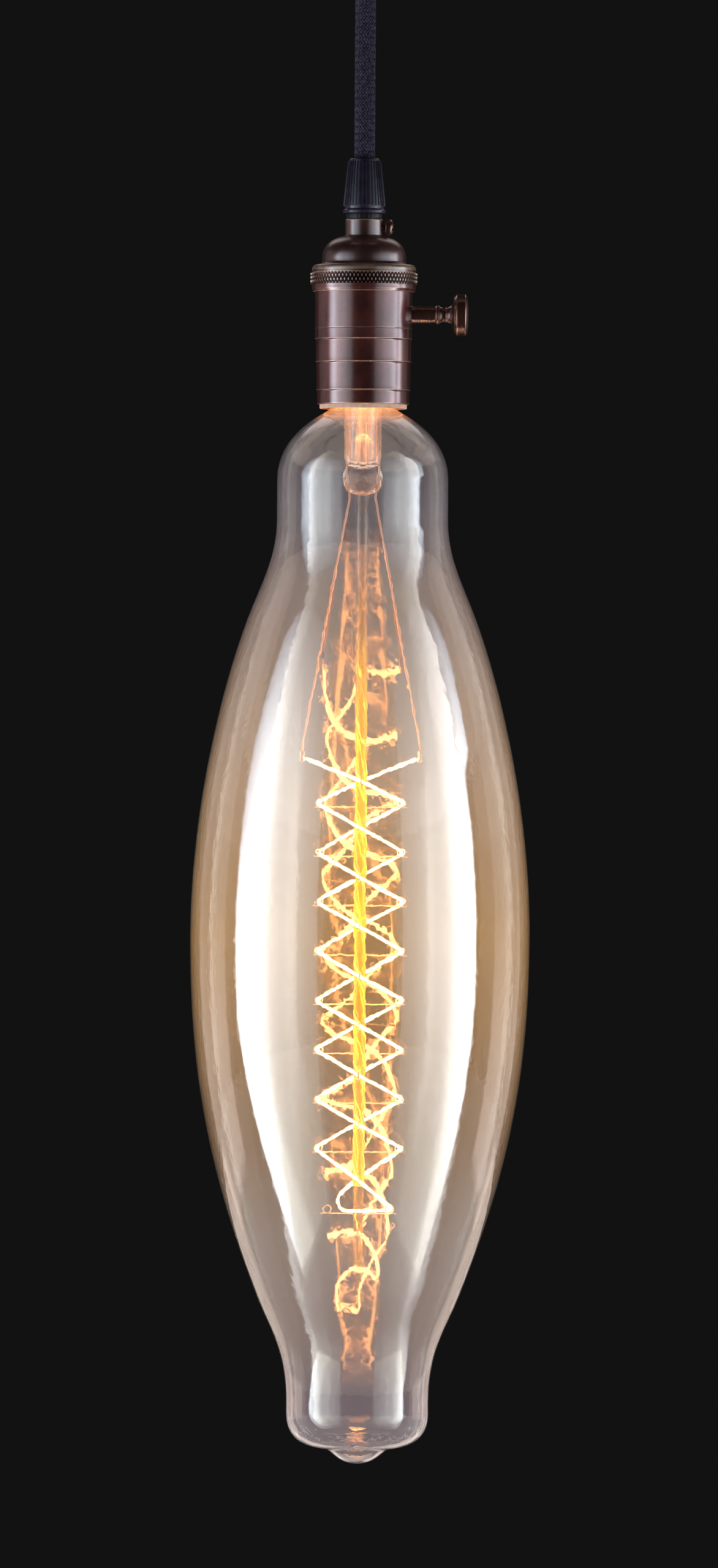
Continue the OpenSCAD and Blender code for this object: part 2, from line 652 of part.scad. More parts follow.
// Turned knob: a concave flare that opens into a thick disc with a slightly domed face
module switch_knob() {
  back_x = knob_reach - knob_t;
  seat_x = back_x - 3;
  kr = knob_d / 2;
  sr = stem_d / 2;
  color([0.27, 0.17, 0.12]) translate([0, 0, knob_z]) rotate([0, 90, 0]) rotate_extrude() polygon(concat(
    [[0, seat_x], [sr - 0.5, seat_x]],
    curve([[sr - 0.5, seat_x], [sr, back_x - 0.4], [kr - 3, back_x - 0.3], [kr - 1, back_x]], 6),
    [[kr, back_x + 1], [kr, knob_reach - 1.2], [kr - 1.1, knob_reach - 0.5]],
    curve([[kr - 1.1, knob_reach - 0.5], [kr * 0.5, knob_reach - 0.1],
      [kr * 0.25, knob_reach], [0, knob_reach]], 5)));
}

module base_shell() {
  r = base_d / 2;
  t = base_t;
  bend_r = r - base_crown * 0.8;
  color([0.78, 0.66, 0.42]) rotate_extrude($fn = 96) polygon([
    [r + 0.3, base_rim_z], [r + 0.3, base_rim_z + 0.6], [r, base_rim_z + 1.2], [r, base_top_z - 1],
    [bend_r, base_top_z], [insulator_foot_d / 2 - t, base_top_z], [insulator_foot_d / 2 - t, base_top_z - t],
    [bend_r - t / 2, base_top_z - t], [r - t, base_top_z - 1 - t / 2], [r - t, base_rim_z]]);
}

module base_insulator() {
  f = insulator_foot_d / 2;
  in_shell = f - base_t - fit_gap;
  c = contact_d / 2;
  hole_r = 1.2;
  top = base_top_z + insulator_h;
  color([0.05, 0.05, 0.06]) rotate_extrude() polygon([
    [hole_r, base_top_z - 1], [in_shell, base_top_z - 1], [in_shell, base_top_z],
    [f, base_top_z], [f - 0.4, base_top_z + 0.8], [c + 0.6, top], [hole_r, top]]);
}

module base_contact() {
  c = contact_d / 2;
  foot = base_top_z + insulator_h;
  color([0.75, 0.76, 0.78]) rotate_extrude() polygon(concat(
    [[0, foot], [c, foot], [c, foot + 0.4]],
    curve([[c, foot + 0.4], [c, foot + 0.9], [c * 0.6, foot + contact_h], [0, foot + contact_h]], 6)));
}

module base_cement() {
  outer = base_d / 2 - base_t - fit_gap;
  color([0.62, 0.60, 0.55]) rotate_extrude() polygon([
    [neck_in_d / 2 + run_gap, base_rim_z + 2.6], [outer, base_rim_z + 2.6], [outer, neck_in_top_z - 2],
    [neck_in_d / 2 + run_gap, neck_in_top_z - 2]]);
}

// Radius and depth down the outside of the glass, drawn in by an inset for its inner face
function glass_outline(inset) =
  let (
    n = neck_glass_d / 2 - inset,
    b = bulb_d / 2 - inset,
    q = tail_d / 2 - inset,
    neck_r = neck_in_d / 2 - inset,
    collar = base_d / 2 + 0.4 - inset * 0.6,
    k = glass_l / 395,
    e = glass_l - inset,
    belly = n + (b - n) * 0.33,
    hip = q + (b - q) * 0.316)
  concat(
    [[neck_r, -(neck_in_top_z - glass_top_z)], [neck_r, -3]],
    curve([[neck_r, -3], [neck_r + 0.6, -1.2], [neck_r + 1, -0.6 + inset / 2], [collar, inset * 0.6]], 4),
    curve([[collar, inset * 0.6], [n - 10.6, 4.5 + inset * 0.6], [n, 12], [n, 26]], 14),
    [[n, 40.5 * k]],
    curve([[n, 40.5 * k], [n, 55 * k], [belly - 5, 64 * k], [belly, 77.2 * k]], 10),
    curve([[belly, 77.2 * k], [belly + 10, 103.6 * k], [b, 150 * k], [b, 197 * k]], 14),
    curve([[b, 197 * k], [b, 250 * k], [hip + 17.5, 286 * k], [hip, 331 * k]], 16),
    curve([[hip, 331 * k], [hip - 5.4, 345 * k], [q, 352 * k], [q, 372 * k]], 10),
    [[q, e - 19]],
    curve([[q, e - 19], [q, e - 11], [q * 0.84, e - 6.4], [11.5, e - 5.6]], 8),
    curve([[11.5, e - 5.6], [8.5, e - 3.4], [6, e], [0, e]], 6));

// Teardrop envelope, open only at the top of its neck, where the stem's flare closes it
module glass_envelope() {
  outer = glass_outline(0);
  inner = glass_outline(glass_t);
  color([0.86, 0.72, 0.60, 0.35]) translate([0, 0, glass_top_z]) rotate_extrude($fn = 128)
    polygon([for (p = concat(outer, reversed(inner))) [max(p[0], 0), -p[1]]]);
}

// Flared stem tube that closes the neck, with the pressed seal at its lower end
module glass_stem() {
  r = stem_tube_d / 2;
  t = flare_t;
  top = neck_in_top_z;
  color([0.80, 0.86, 0.88, 0.5]) difference() {
    rotate_extrude() polygon(concat(
      [[neck_in_d / 2, top], [neck_in_d / 2, top + t]],
      curve([[neck_in_d / 2, top + t], [r + 1, top + t - 0.4], [r - t, top - 3], [r - t, top - 9]], 7),
      [[r - t, press_top_z + 1.5]],
      curve([[r - t, press_top_z + 1.5], [r - t - 0.6, press_top_z - 1.6],
        [exhaust_d / 2 + 1.4, press_top_z - 2], [0, press_top_z - 2]], 5),
      [[0, press_foot_z]],
      curve([[0, press_foot_z], [r * 0.7, press_foot_z], [press_d / 2, press_foot_z + 1],
        [press_d / 2, press_foot_z + press_h * 0.45]], 6),
      curve([[press_d / 2, press_foot_z + press_h * 0.45], [press_d / 2, press_top_z - 1],
        [r, press_top_z - 0.5], [r, press_top_z + 1.5]], 6),
      [[r, top - 9]],
      curve([[r, top - 9], [r, top - 3], [r + 1.6, top - 0.3], [neck_in_d / 2 - 1, top]], 7)));
    for (side = [-1, 1]) translate([side * lead_x, 0, press_foot_z - 1])
      cylinder(d = lead_d + 2 * fit_gap, h = press_h + 2, $fn = 24);
  }
}

module exhaust_tube() {
  foot = press_top_z - 2 + touch_gap;
  color([0.80, 0.86, 0.88, 0.5]) rotate_extrude() polygon([
    [exhaust_bore_d / 2, foot], [exhaust_d / 2, foot], [exhaust_d / 2, exhaust_tip_z - 2.4],
    [exhaust_d / 2 - 0.8, exhaust_tip_z - 0.7], [0, exhaust_tip_z], [0, exhaust_tip_z - 1.2],
    [exhaust_bore_d / 2, exhaust_tip_z - 3]]);
}

module glass_rod() {
  r = rod_d / 2;
  color([0.95, 0.72, 0.22, 0.6]) rotate_extrude() polygon(concat(
    [[0, press_foot_z], [r, press_foot_z], [r, rod_foot_z + 1.2]],
    curve([[r, rod_foot_z + 1.2], [r, rod_foot_z + 0.5], [r * 0.7, rod_foot_z], [0, rod_foot_z]], 5)));
}

// Height, radius and direction of support number k, on the strand that starts at the left lead
function support_z(k) =
  let (top = glass_top_z - cage_drop)
  k <= 2 ? top - first_fall * k / 2
  : k <= supports - 2 ? top - first_fall - half_turn_fall * (k - 2) / 2
  : cage_foot_z + last_fall * (supports - k) / 2;
function support_r(k) =
  k == 0 ? lead_r : k == 1 ? (lead_r + cage_r) / 2
  : k <= supports - 2 ? cage_r
  : cage_end_r + (cage_r - cage_end_r) * (supports - k) / 2;
function support_angle(k) = 180 + 90 * k;
function on_circle(r, angle, z) = [r * cos(angle), r * sin(angle), z];

// A support wire that wraps once round the filament, with its tail pointing out
module pigtail(k, turn, start_x) {
  r = support_r(k);
  arm_r = support_d / 2;
  rotate([0, 0, support_angle(k) + turn]) translate([0, 0, support_z(k)]) {
    translate([start_x, 0, -eye_r]) rotate([0, 90, 0])
      cylinder(r = arm_r, h = r + tail_l - start_x, $fn = 16);
    translate([r, arm_r * 0.8, 0]) rotate([90, 0, 0])
      rotate_extrude($fn = 24) translate([eye_r, 0]) circle(r = arm_r * 0.9, $fn = 16);
  }
}

module support_wires() {
  drop_x = rod_d / 4;
  foot_z = cage_foot_z - eye_r;
  color([0.80, 0.70, 0.60]) {
    for (k = [1:supports - 1], turn = [0, 180]) pigtail(k, turn, rod_d / 2);
    for (turn = [0, 180]) {
      pigtail(supports, turn, drop_x - support_d / 2);
      rotate([0, 0, turn]) translate([drop_x, 0, foot_z])
        cylinder(d = support_d * 0.9, h = rod_foot_z - foot_z - fit_gap, $fn = 16);
    }
  }
}

// Corner points of the filament: down one strand, round the bottom and up the other
corner_points = concat(
  [for (k = [0:supports])
    on_circle(support_r(k) + (k == 0 ? 0 : corner_inset), support_angle(k), support_z(k))],
  [on_circle(cage_end_r + corner_inset, support_angle(supports + 1), cage_foot_z - 1)],
  [for (k = [supports:-1:0])
    on_circle(support_r(k) + (k == 0 ? 0 : corner_inset), support_angle(k) + 180, support_z(k))]);

filament_path = rounded_path(corner_points, corner_leg);

// Least gap between stretches of the filament that are at least a quarter turn apart
apart = 2 * rings_per_corner + 4;
least_gap = min([for (i = [0:len(filament_path) - 1], j = [i + apart:len(filament_path) - 1])
  norm(filament_path[i] - filament_path[j])]) - filament_d;
echo(filament_least_gap_mm = least_gap, filament_rings = len(filament_path));

module filament() {
  color([1.0, 0.93, 0.75]) swept_tube(filament_path, filament_d);
}

// Crimped tubes that join the ends of the filament to the lead wires
module filament_clamps() {
  l = 4;
  color([0.80, 0.62, 0.50]) for (side = [-1, 1])
    translate([side * clamp_x, 0, support_z(0) - 1]) difference() {
      cylinder(d = clamp_d, h = l, $fn = 24);
      translate([0, 0, 1.4]) cylinder(d = lead_d + 2 * fit_gap, h = l, $fn = 24);
    }
}

// Lead wire from inside the stem through the seal and out to one end of the filament
module lead_wire(side) {
  press_gap = 1.2;
  bent_wire([
    [side * lead_x, 0, press_top_z - 1.4], [side * lead_x, 0, press_foot_z - press_gap],
    [side * clamp_x, 0, support_z(0) + 4.5], [side * clamp_x, 0, support_z(0) + 0.6]], lead_d);
}

module lead_wire_left() {
  color([0.80, 0.50, 0.36]) lead_wire(-1);
}

module lead_wire_right() {
  color([0.80, 0.50, 0.36]) lead_wire(1);
}

// One lead goes to the centre contact, the other over the flare to the wall of the base
module base_leads() {
  x = stem_tube_d / 2 - flare_t - 1;
  start_z = press_top_z - 1;
  over_z = exhaust_tip_z + 1.4;
  tip_z = base_top_z + insulator_h - 0.2;
  wall_x = base_d / 2 - base_t - 0.6;
  wire_d = 0.6;
  color([0.80, 0.50, 0.36]) {
    bent_wire([[x, 0, start_z], [x, 0, over_z], [0, 0, over_z + 1.2], [0, 0, tip_z]], wire_d);
    bent_wire([[-x, 0, start_z], [-x, 0, over_z], [-wall_x, 0, over_z]], wire_d);
  }
}

canopy();
crossbar();
canopy_screws();
ceiling_grip();
ceiling_locknut();
cord();
cord_grip();
grip_nut();
socket_cap();
cap_locknut();
side_screw();
ring_nut();
socket_shell();
shell_liner();
socket_core();
screw_shell();
centre_contact();
switch_blade();
terminal_screws();
supply_leads();
switch_rotor();
knob_stem();
switch_knob();
base_shell();
base_insulator();
base_contact();
base_cement();
glass_envelope();
glass_stem();
exhaust_tube();
glass_rod();
support_wires();
filament();
filament_clamps();
lead_wire_left();
lead_wire_right();
base_leads();
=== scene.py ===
# %% [markdown]
# # A long lamp bulb in its turn-knob holder
#
# A big smoky glass bulb, shaped like a long olive, hangs lit on a braided cord. Between the
# cord and the bulb sit a black ribbed cord grip and a holder of dark bronzed brass with a
# turn knob on its side. This notebook rebuilds the look of that lamp round a measured model
# of it, which is loaded first and never changed.

# %% Load the measured model
import math

import bmesh
import bpy
import numpy as np
from mathutils import Matrix


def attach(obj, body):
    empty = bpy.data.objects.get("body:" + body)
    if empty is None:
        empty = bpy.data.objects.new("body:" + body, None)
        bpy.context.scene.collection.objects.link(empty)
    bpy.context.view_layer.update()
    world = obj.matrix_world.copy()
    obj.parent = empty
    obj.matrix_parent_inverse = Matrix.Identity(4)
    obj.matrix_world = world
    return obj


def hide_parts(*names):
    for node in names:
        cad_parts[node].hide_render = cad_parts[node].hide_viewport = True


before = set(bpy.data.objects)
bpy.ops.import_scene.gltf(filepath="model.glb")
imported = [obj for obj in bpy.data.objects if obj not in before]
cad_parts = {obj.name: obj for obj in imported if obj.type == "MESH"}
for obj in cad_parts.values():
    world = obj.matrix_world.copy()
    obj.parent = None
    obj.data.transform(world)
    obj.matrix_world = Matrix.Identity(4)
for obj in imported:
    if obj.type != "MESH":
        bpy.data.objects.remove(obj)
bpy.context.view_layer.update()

MM = 0.001  # the drawings are in millimetres and Blender is in metres

# %% [markdown]
# ## The camera
#
# The lamp was photographed straight on through a long lens, so its sides look parallel. A
# lens of about 270 mm more than four metres away gives the same view. The lamp leans a third
# of a degree in the picture, which the camera takes up by rolling the other way.

# %% The camera in front of the lamp
IMAGE_SIZE = (1172, 2560)  # pixels
PIXELS_PER_MM = 4.35
EYE_HEIGHT, EYE_DISTANCE, EYE_SIDE = -0.3432, 4.4, -0.0007  # metres
LEAN = math.radians(-0.35)

scene = bpy.context.scene
lens = bpy.data.cameras.new("front_view")
lens.sensor_width = 36.0
half_height = IMAGE_SIZE[1] / 2 / PIXELS_PER_MM * MM
lens.lens = lens.sensor_width / 2 * EYE_DISTANCE / half_height
lens.dof.use_dof = False
lens.clip_start, lens.clip_end = 0.05, 50
camera = bpy.data.objects.new("front_view", lens)
camera.location = (EYE_SIDE, -EYE_DISTANCE, EYE_HEIGHT)
camera.rotation_euler = (math.radians(90), LEAN, 0)
scene.collection.objects.link(camera)
scene.camera = camera
scene.view_settings.view_transform = "Standard"
print("lens %.1f mm" % lens.lens)

# %% [markdown]
# ## Small helpers for node trees
#
# Materials and Geometry Nodes trees are both made of nodes whose sockets hold a value or a
# link. One helper fills them either way. What comes out of a node is kept as a signal, on
# which Python's own signs add Math nodes, so that a tree reads like the list of its steps.

# %% Helpers that add nodes
def give(tree, value, socket):
    """Links a signal to an input socket, or sets a plain value there. A colour needs no alpha."""
    if isinstance(value, Signal):
        tree.links.new(value.socket, socket)
    else:
        socket.default_value = (*value, 1) if socket.type == "RGBA" else value


def add(tree, kind, sockets=None, **settings):
    """A new node with its settings made and its input sockets filled."""
    node = tree.nodes.new(kind)
    for key, value in settings.items():
        setattr(node, key, value)
    for key, value in (sockets or {}).items():
        give(tree, value, node.inputs[key])
    return node


def get(tree, kind, sockets=None, output=0, **settings):
    """What comes out of a new node."""
    return Signal(tree, add(tree, kind, sockets, **settings).outputs[output])


# %% What comes out of a node
class Signal:
    """An output in a node tree. Sums on it are written as sums on a number."""

    def __init__(self, tree, socket):
        self.tree, self.socket = tree, socket

    def apply(self, operation, *others):
        return get(self.tree, "ShaderNodeMath", dict(enumerate((self, *others))), operation=operation)

    def __add__(self, other):
        return self.apply("ADD", other)

    def __sub__(self, other):
        return self.apply("SUBTRACT", other)

    def __rsub__(self, other):
        return self * -1 + other

    def __mul__(self, other):
        return self.apply("MULTIPLY", other)

    def __truediv__(self, other):
        return self.apply("DIVIDE", other)

    def at_least(self, limit):
        return self.apply("MAXIMUM", limit)

    def at_most(self, limit):
        return self.apply("MINIMUM", limit)

    def stretch(self, low, high, new_low=0, new_high=1):
        """Carried from one range to another and kept inside it."""
        return get(self.tree, "ShaderNodeMapRange", {0: self, 1: low, 2: high, 3: new_low, 4: new_high})

    def blend(self, low, high):
        """One colour turning into another as this goes from 0 to 1."""
        return get(self.tree, "ShaderNodeMix", {0: self, 6: low, 7: high}, 2, data_type="RGBA")

    def levels(self, stops):
        """A ramp of numbers or colours along this."""
        node = add(self.tree, "ShaderNodeValToRGB", {0: self})
        marks = node.color_ramp.elements
        while len(marks) < len(stops):
            marks.new(0.5)
        for mark, (where, level) in zip(marks, stops):
            mark.position = where
            mark.color = (*(level if isinstance(level, tuple) else (level,) * 3), 1)
        return Signal(self.tree, node.outputs[0])

    def bumps(self, depth):
        """The normal of a surface with bumps this high, from 0 to 1. The depth is in metres."""
        return get(self.tree, "ShaderNodeBump", {"Height": self, "Distance": depth, "Strength": 1})


def vector(tree, x=0.0, y=0.0, z=0.0):
    return get(tree, "ShaderNodeCombineXYZ", {0: x, 1: y, 2: z})


print("a signal can:", ", ".join(step for step in vars(Signal) if not step.startswith("_")))

# %% Helpers for materials
EVENLY = (1, 1, 1)  # for grain that isn't stretched


def grain(tree, stretch, scale, detail=3, roughness=0.5):
    """Noise on the piece's own coordinates, stretched along the axes: 0 to 1."""
    spot = get(tree, "ShaderNodeTexCoord", output="Object")
    mapped = get(tree, "ShaderNodeMapping", {"Vector": spot, "Scale": stretch})
    sockets = {"Vector": mapped, "Scale": scale, "Detail": detail, "Roughness": roughness}
    return get(tree, "ShaderNodeTexNoise", sockets)


def height_on(tree):
    """How high a point of the piece is, in metres."""
    return get(tree, "ShaderNodeSeparateXYZ", {0: get(tree, "ShaderNodeTexCoord", output="Object")}, 2)


def dress(finish, **values):
    """Gives values or signals to the sockets of a material's shader."""
    tree = finish.node_tree
    for key, value in values.items():
        give(tree, value, tree.nodes["Principled BSDF"].inputs[key.replace("_", " ")])
    return finish


def new_finish(name, **values):
    """A material with one Principled shader, and its node tree."""
    finish = bpy.data.materials.new(name)
    finish.use_nodes = True
    return dress(finish, **values), finish.node_tree


print("helpers:", ", ".join(helper.__name__ for helper in (grain, height_on, dress, new_finish)))

# %% [markdown]
# ## Drawing the pieces
#
# Nearly everything on this lamp was turned, spun or blown, so it is round about one axis. A
# piece is drawn as half of its section, a list of (radius, height) points, and spun. Sharp
# corners get a small arc, and the arcs on outer corners are marked as worn in an attribute,
# which the metal finish later turns into rubbed copper.

# %% Outline helpers
def curve(points, steps):
    """Points along a cubic curve with four control points."""
    a, b, c, d = (np.array(p, float) for p in points)
    return [
        tuple((1 - t) ** 3 * a + 3 * (1 - t) ** 2 * t * b + 3 * (1 - t) * t * t * c + t**3 * d)
        for t in (i / steps for i in range(steps + 1))
    ]


def outline(*steps):
    """Points in a row. A longer step is a curve: its number of points, two controls, its end."""
    points = []
    for step in steps:
        points += [step] if len(step) == 2 else curve((points[-1], *step[1:]), step[0])[1:]
    return points


def soften(points, radius, closed=True, band=0.35):
    """The outline with its corners rounded: (radius, height, worn) points.

    The outline runs anticlockwise, so a left turn is an outer corner, and those are worn."""
    count, out = len(points), []
    for i, here in enumerate(points):
        if not closed and i in (0, count - 1):
            out.append((*here, 0.0))
            continue
        p = np.array(here, float)
        back, on = np.array(points[i - 1], float) - p, np.array(points[(i + 1) % count], float) - p
        room_back, room_on = np.linalg.norm(back), np.linalg.norm(on)
        back, on = back / room_back, on / room_on
        bend = math.atan2(-back[0] * on[1] + back[1] * on[0], -back @ on)
        if abs(bend) < math.radians(12):
            out.append((*here, 0.0))
            continue
        cut = min(radius, 0.4 * room_back, 0.4 * room_on)
        worn = min(1.0, max(0.0, bend / math.radians(60)))
        out.append((*(p + back * (cut + min(band, 0.08 * room_back + 0.02))), 0.0))
        for t in (0, 1 / 3, 2 / 3, 1):
            q = (1 - t) ** 2 * (p + back * cut) + 2 * t * (1 - t) * p + t * t * (p + on * cut)
            out.append((*q, worn))
        out.append((*(p + on * (cut + min(band, 0.08 * room_on + 0.02))), 0.0))
    return out


print("a square with soft corners:", len(soften([(1, 0), (2, 0), (2, 1), (1, 1)], 0.1)), "points")

# %% Spinning an outline into a mesh
def smooth(thing, angle=38):
    """Smooth shading with the edges sharper than angle kept crisp."""
    mesh = getattr(thing, "data", thing)
    mesh.polygons.foreach_set("use_smooth", [True] * len(mesh.polygons))
    mesh.set_sharp_from_angle(angle=math.radians(angle))
    return thing


def face_outwards(mesh):
    """Merges doubled points and turns every face outwards."""
    shape = bmesh.new()
    shape.from_mesh(mesh)
    bmesh.ops.remove_doubles(shape, verts=shape.verts, dist=1e-7)
    bmesh.ops.recalc_face_normals(shape, faces=shape.faces)
    shape.to_mesh(mesh)
    shape.free()


def turned(name, points, sides=128, closed=True, axis="Z"):
    """A mesh turned round an axis from (radius, height) or (radius, height, mark) points in mm, where the
    mark is worn above 0 and painted shade at -1.
    """
    rings, verts, wear = [], [], []
    for r, h, *worn in points:
        around = sides if r > 1e-6 else 1
        rings.append([len(verts) + k for k in range(around)])
        for a in (2 * math.pi * k / sides for k in range(around)):
            x, y = r * math.cos(a), r * math.sin(a)
            verts.append((x * MM, y * MM, h * MM) if axis == "Z" else (h * MM, x * MM, y * MM))
            wear.append(worn[0] if worn else 0.0)
    faces = []
    for low, high in list(zip(rings, rings[1:])) + ([(rings[-1], rings[0])] if closed else []):
        for k in range(sides):
            m = (k + 1) % sides
            corners = [low[k % len(low)], low[m % len(low)], high[m % len(high)], high[k % len(high)]]
            corners = list(dict.fromkeys(corners))
            if len(corners) > 2:
                faces.append(corners)
    mesh = bpy.data.meshes.new(name)
    mesh.from_pydata(verts, [], faces)
    mesh.attributes.new("wear", "FLOAT", "POINT").data.foreach_set("value", wear)
    face_outwards(mesh)
    return smooth(mesh)


# %% Making, moving and joining objects
def place(name, mesh):
    """An object that stays at the origin, with its place in its mesh."""
    thing = bpy.data.objects.new(name, mesh)
    scene.collection.objects.link(thing)
    return thing


def spun(name, points, corner=None, sides=128, closed=True, axis="Z"):
    """A turned object, with its corners rounded where a radius is given for them."""
    points = soften(points, corner, closed) if corner else points
    return place(name, turned(name, points, sides, closed, axis))


def sculpt(name, make, **options):
    """A mesh made by one of bmesh's own operators."""
    shape = bmesh.new()
    make(shape, **options)
    mesh = bpy.data.meshes.new(name)
    shape.to_mesh(mesh)
    shape.free()
    return mesh


def shift(thing, x=0.0, z=0.0):
    """Moves an object's mesh by millimetres."""
    thing.data.transform(Matrix.Translation((x * MM, 0, z * MM)))
    return thing


def turn(thing, degrees, axis="Z"):
    """Turns an object's mesh round an axis."""
    thing.data.transform(Matrix.Rotation(math.radians(degrees), 4, axis))
    return thing


def weld(name, *parts):
    """Several objects joined into the first, under one name."""
    with bpy.context.temp_override(active_object=parts[0], selected_editable_objects=list(parts)):
        bpy.ops.object.join()
    parts[0].name = name
    return parts[0]


def settle(thing):
    """Keeps what the modifiers make as a plain mesh, and removes them."""
    graph = bpy.context.evaluated_depsgraph_get()
    result = bpy.data.meshes.new_from_object(thing.evaluated_get(graph), depsgraph=graph)
    thing.modifiers.clear()
    thing.data = result
    return thing


# %% Fitting a finished piece
holder_pieces = bpy.data.collections.new("holder_pieces")  # what the holder's own lights shine on


def fit(thing, finish, body, slot, *nodes):
    """Gives a finished piece its material and its body, and hides the measured nodes that it stands for."""
    thing.data.materials.clear()
    thing.data.materials.append(finish)
    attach(thing, body)
    if nodes:
        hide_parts(*nodes)
    if body in ("lampholder", "switch"):
        holder_pieces.objects.link(thing)
    print("%-16s %6d faces, rides on %s" % (thing.name, len(thing.data.polygons), body))
    return thing


# %% [markdown]
# ## Copies round a ring
#
# Ribs, knurling and grooves repeat evenly round a turned piece. A Geometry Nodes tree takes
# one of them as its input mesh and sets copies round the axis, in one or more rows, with a
# stagger from row to row. The sizes are named inputs, so the same tree serves every ring.

# %% The tree that sets copies round a ring
def new_tree(name, **inputs):
    """An empty Geometry Nodes tree with a geometry input and one input for each size."""
    tree = bpy.data.node_groups.new(name, "GeometryNodeTree")
    socket = tree.interface.new_socket
    socket("Geometry", in_out="INPUT", socket_type="NodeSocketGeometry")
    for label, value in inputs.items():
        kind = "NodeSocketInt" if isinstance(value, int) else "NodeSocketFloat"
        socket(label, in_out="INPUT", socket_type=kind).default_value = value
    socket("Finish", in_out="INPUT", socket_type="NodeSocketMaterial")
    socket("Geometry", in_out="OUTPUT", socket_type="NodeSocketGeometry")
    outputs = tree.nodes.new("NodeGroupInput").outputs
    return tree, {given.name: Signal(tree, given) for given in outputs if given.name}


def end_tree(tree, given, geometry):
    """Ends a tree in real geometry with its material set."""
    real = get(tree, "GeometryNodeRealizeInstances", {0: geometry})
    dressed = get(tree, "GeometryNodeSetMaterial", {"Geometry": real, "Material": given["Finish"]})
    give(tree, dressed, tree.nodes.new("NodeGroupOutput").inputs[0])
    return tree


def ring_of_copies():
    tree, given = new_tree("ring_of_copies", Copies=24, Rows=1, Rise=0.001, Stagger=0.5)
    index = get(tree, "GeometryNodeInputIndex")
    row = (index / given["Copies"]).apply("FLOOR")
    angle = (row * given["Stagger"] + index) / given["Copies"] * (2 * math.pi)
    points = get(tree, "GeometryNodePoints", {"Count": given["Copies"] * given["Rows"]})
    lift = vector(tree, z=row * given["Rise"])
    points = get(tree, "GeometryNodeSetPosition", {"Geometry": points, "Position": lift})
    rotation = get(tree, "FunctionNodeEulerToRotation", {0: vector(tree, z=angle)})
    sockets = {"Points": points, "Instance": given["Geometry"], "Rotation": rotation}
    return end_tree(tree, given, get(tree, "GeometryNodeInstanceOnPoints", sockets))


def grow(name, mesh, tree, finish, **sizes):
    """Runs a tree on a mesh and keeps the result as a plain mesh, with no modifier left."""
    thing = place(name, mesh)
    modifier = thing.modifiers.new("grow", "NODES")
    modifier.node_group = tree
    given = {"Finish": finish, **sizes}
    for item in tree.interface.items_tree:
        if item.in_out == "INPUT" and item.name in given:
            modifier[item.identifier] = given[item.name]
    return settle(thing)


RING = ring_of_copies()
print("tree:", RING.name, "with", len(RING.nodes), "nodes")

# %% [markdown]
# ## The braided cord
#
# The cord is a round cable in a braided cotton sleeve, dark blue-black with paler flecks. It
# is 64 mm long between the two grips, hangs straight down and is 8 mm thick. Twenty yarns
# wind one way and twenty the other, and each passes over two and under two. Because of that
# rhythm every yarn is the same shape turned round the axis, so one tree draws a yarn with its
# ups and downs, and the ring tree sets the copies. At both ends the yarns run on over a ball,
# which stays inside the cup of its grip when the lamp swings.

# %% The cloth finish
def cloth_finish():
    finish, tree = new_finish("braided_cotton", Roughness=0.6, Sheen_Weight=0.16, Sheen_Roughness=0.4,
                              Sheen_Tint=(0.60, 0.54, 0.75))
    flecks = grain(tree, EVENLY, 900, 4, 0.7).stretch(0.42, 0.62)
    return dress(finish, Base_Color=flecks.blend((0.010, 0.006, 0.016), (0.070, 0.048, 0.110)),
                 Normal=grain(tree, (1, 1, 0.3), 2600, 2).bumps(0.00012))


BRAIDED_COTTON = cloth_finish()
print("finish:", BRAIDED_COTTON.name)

# %% One yarn
CORD_TOP, CORD_BOTTOM = -44.5, -108.5  # mm
YARNS, WINDS, CORE = 20, 2.4, 3.3  # in each set, turns from end to end, radius of the core in mm


def tube(tree, path, radius, sides):
    """A closed tube along a curve."""
    section = get(tree, "GeometryNodeCurvePrimitiveCircle", {"Resolution": sides, "Radius": radius})
    sockets = {"Curve": path, "Profile Curve": section, "Fill Caps": True}
    return get(tree, "GeometryNodeCurveToMesh", sockets)


def yarn_tree():
    """A yarn that winds along a cord, rising and dipping as it crosses the others.

    It runs past both ends by Overrun, where the cord rounds off into a ball of that radius."""
    tree, given = new_tree("yarn", Points=176, Length=0.064, Radius=0.00333, Winds=2.4, Crossings=96.0,
                           Weave=0.00018, Width=0.00045, Phase=0.0, Overrun=0.0038)
    extra = given["Overrun"] / given["Length"]
    t = get(tree, "GeometryNodeInputIndex") / (given["Points"] - 1)
    t = t * (extra * 2 + 1) - extra
    past = (t * -1).at_least(t - 1).at_least(0) / (extra * 1.05)
    rounding = (1 - past * past).apply("SQRT")
    beat = t * given["Crossings"] * (math.pi / 2) + given["Phase"]
    radius = (beat.apply("COSINE") * given["Weave"] + given["Radius"]) * rounding
    angle = t * given["Winds"] * (2 * math.pi)
    spot = vector(tree, angle.apply("COSINE") * radius, angle.apply("SINE") * radius, t * given["Length"])
    line = get(tree, "GeometryNodeMeshLine", {"Count": given["Points"]})
    line = get(tree, "GeometryNodeSetPosition", {"Geometry": line, "Position": spot})
    path = get(tree, "GeometryNodeMeshToCurve", {"Mesh": line})
    return end_tree(tree, given, tube(tree, path, given["Width"], 5))


YARN = yarn_tree()
print("tree:", YARN.name, "with", len(YARN.nodes), "nodes")

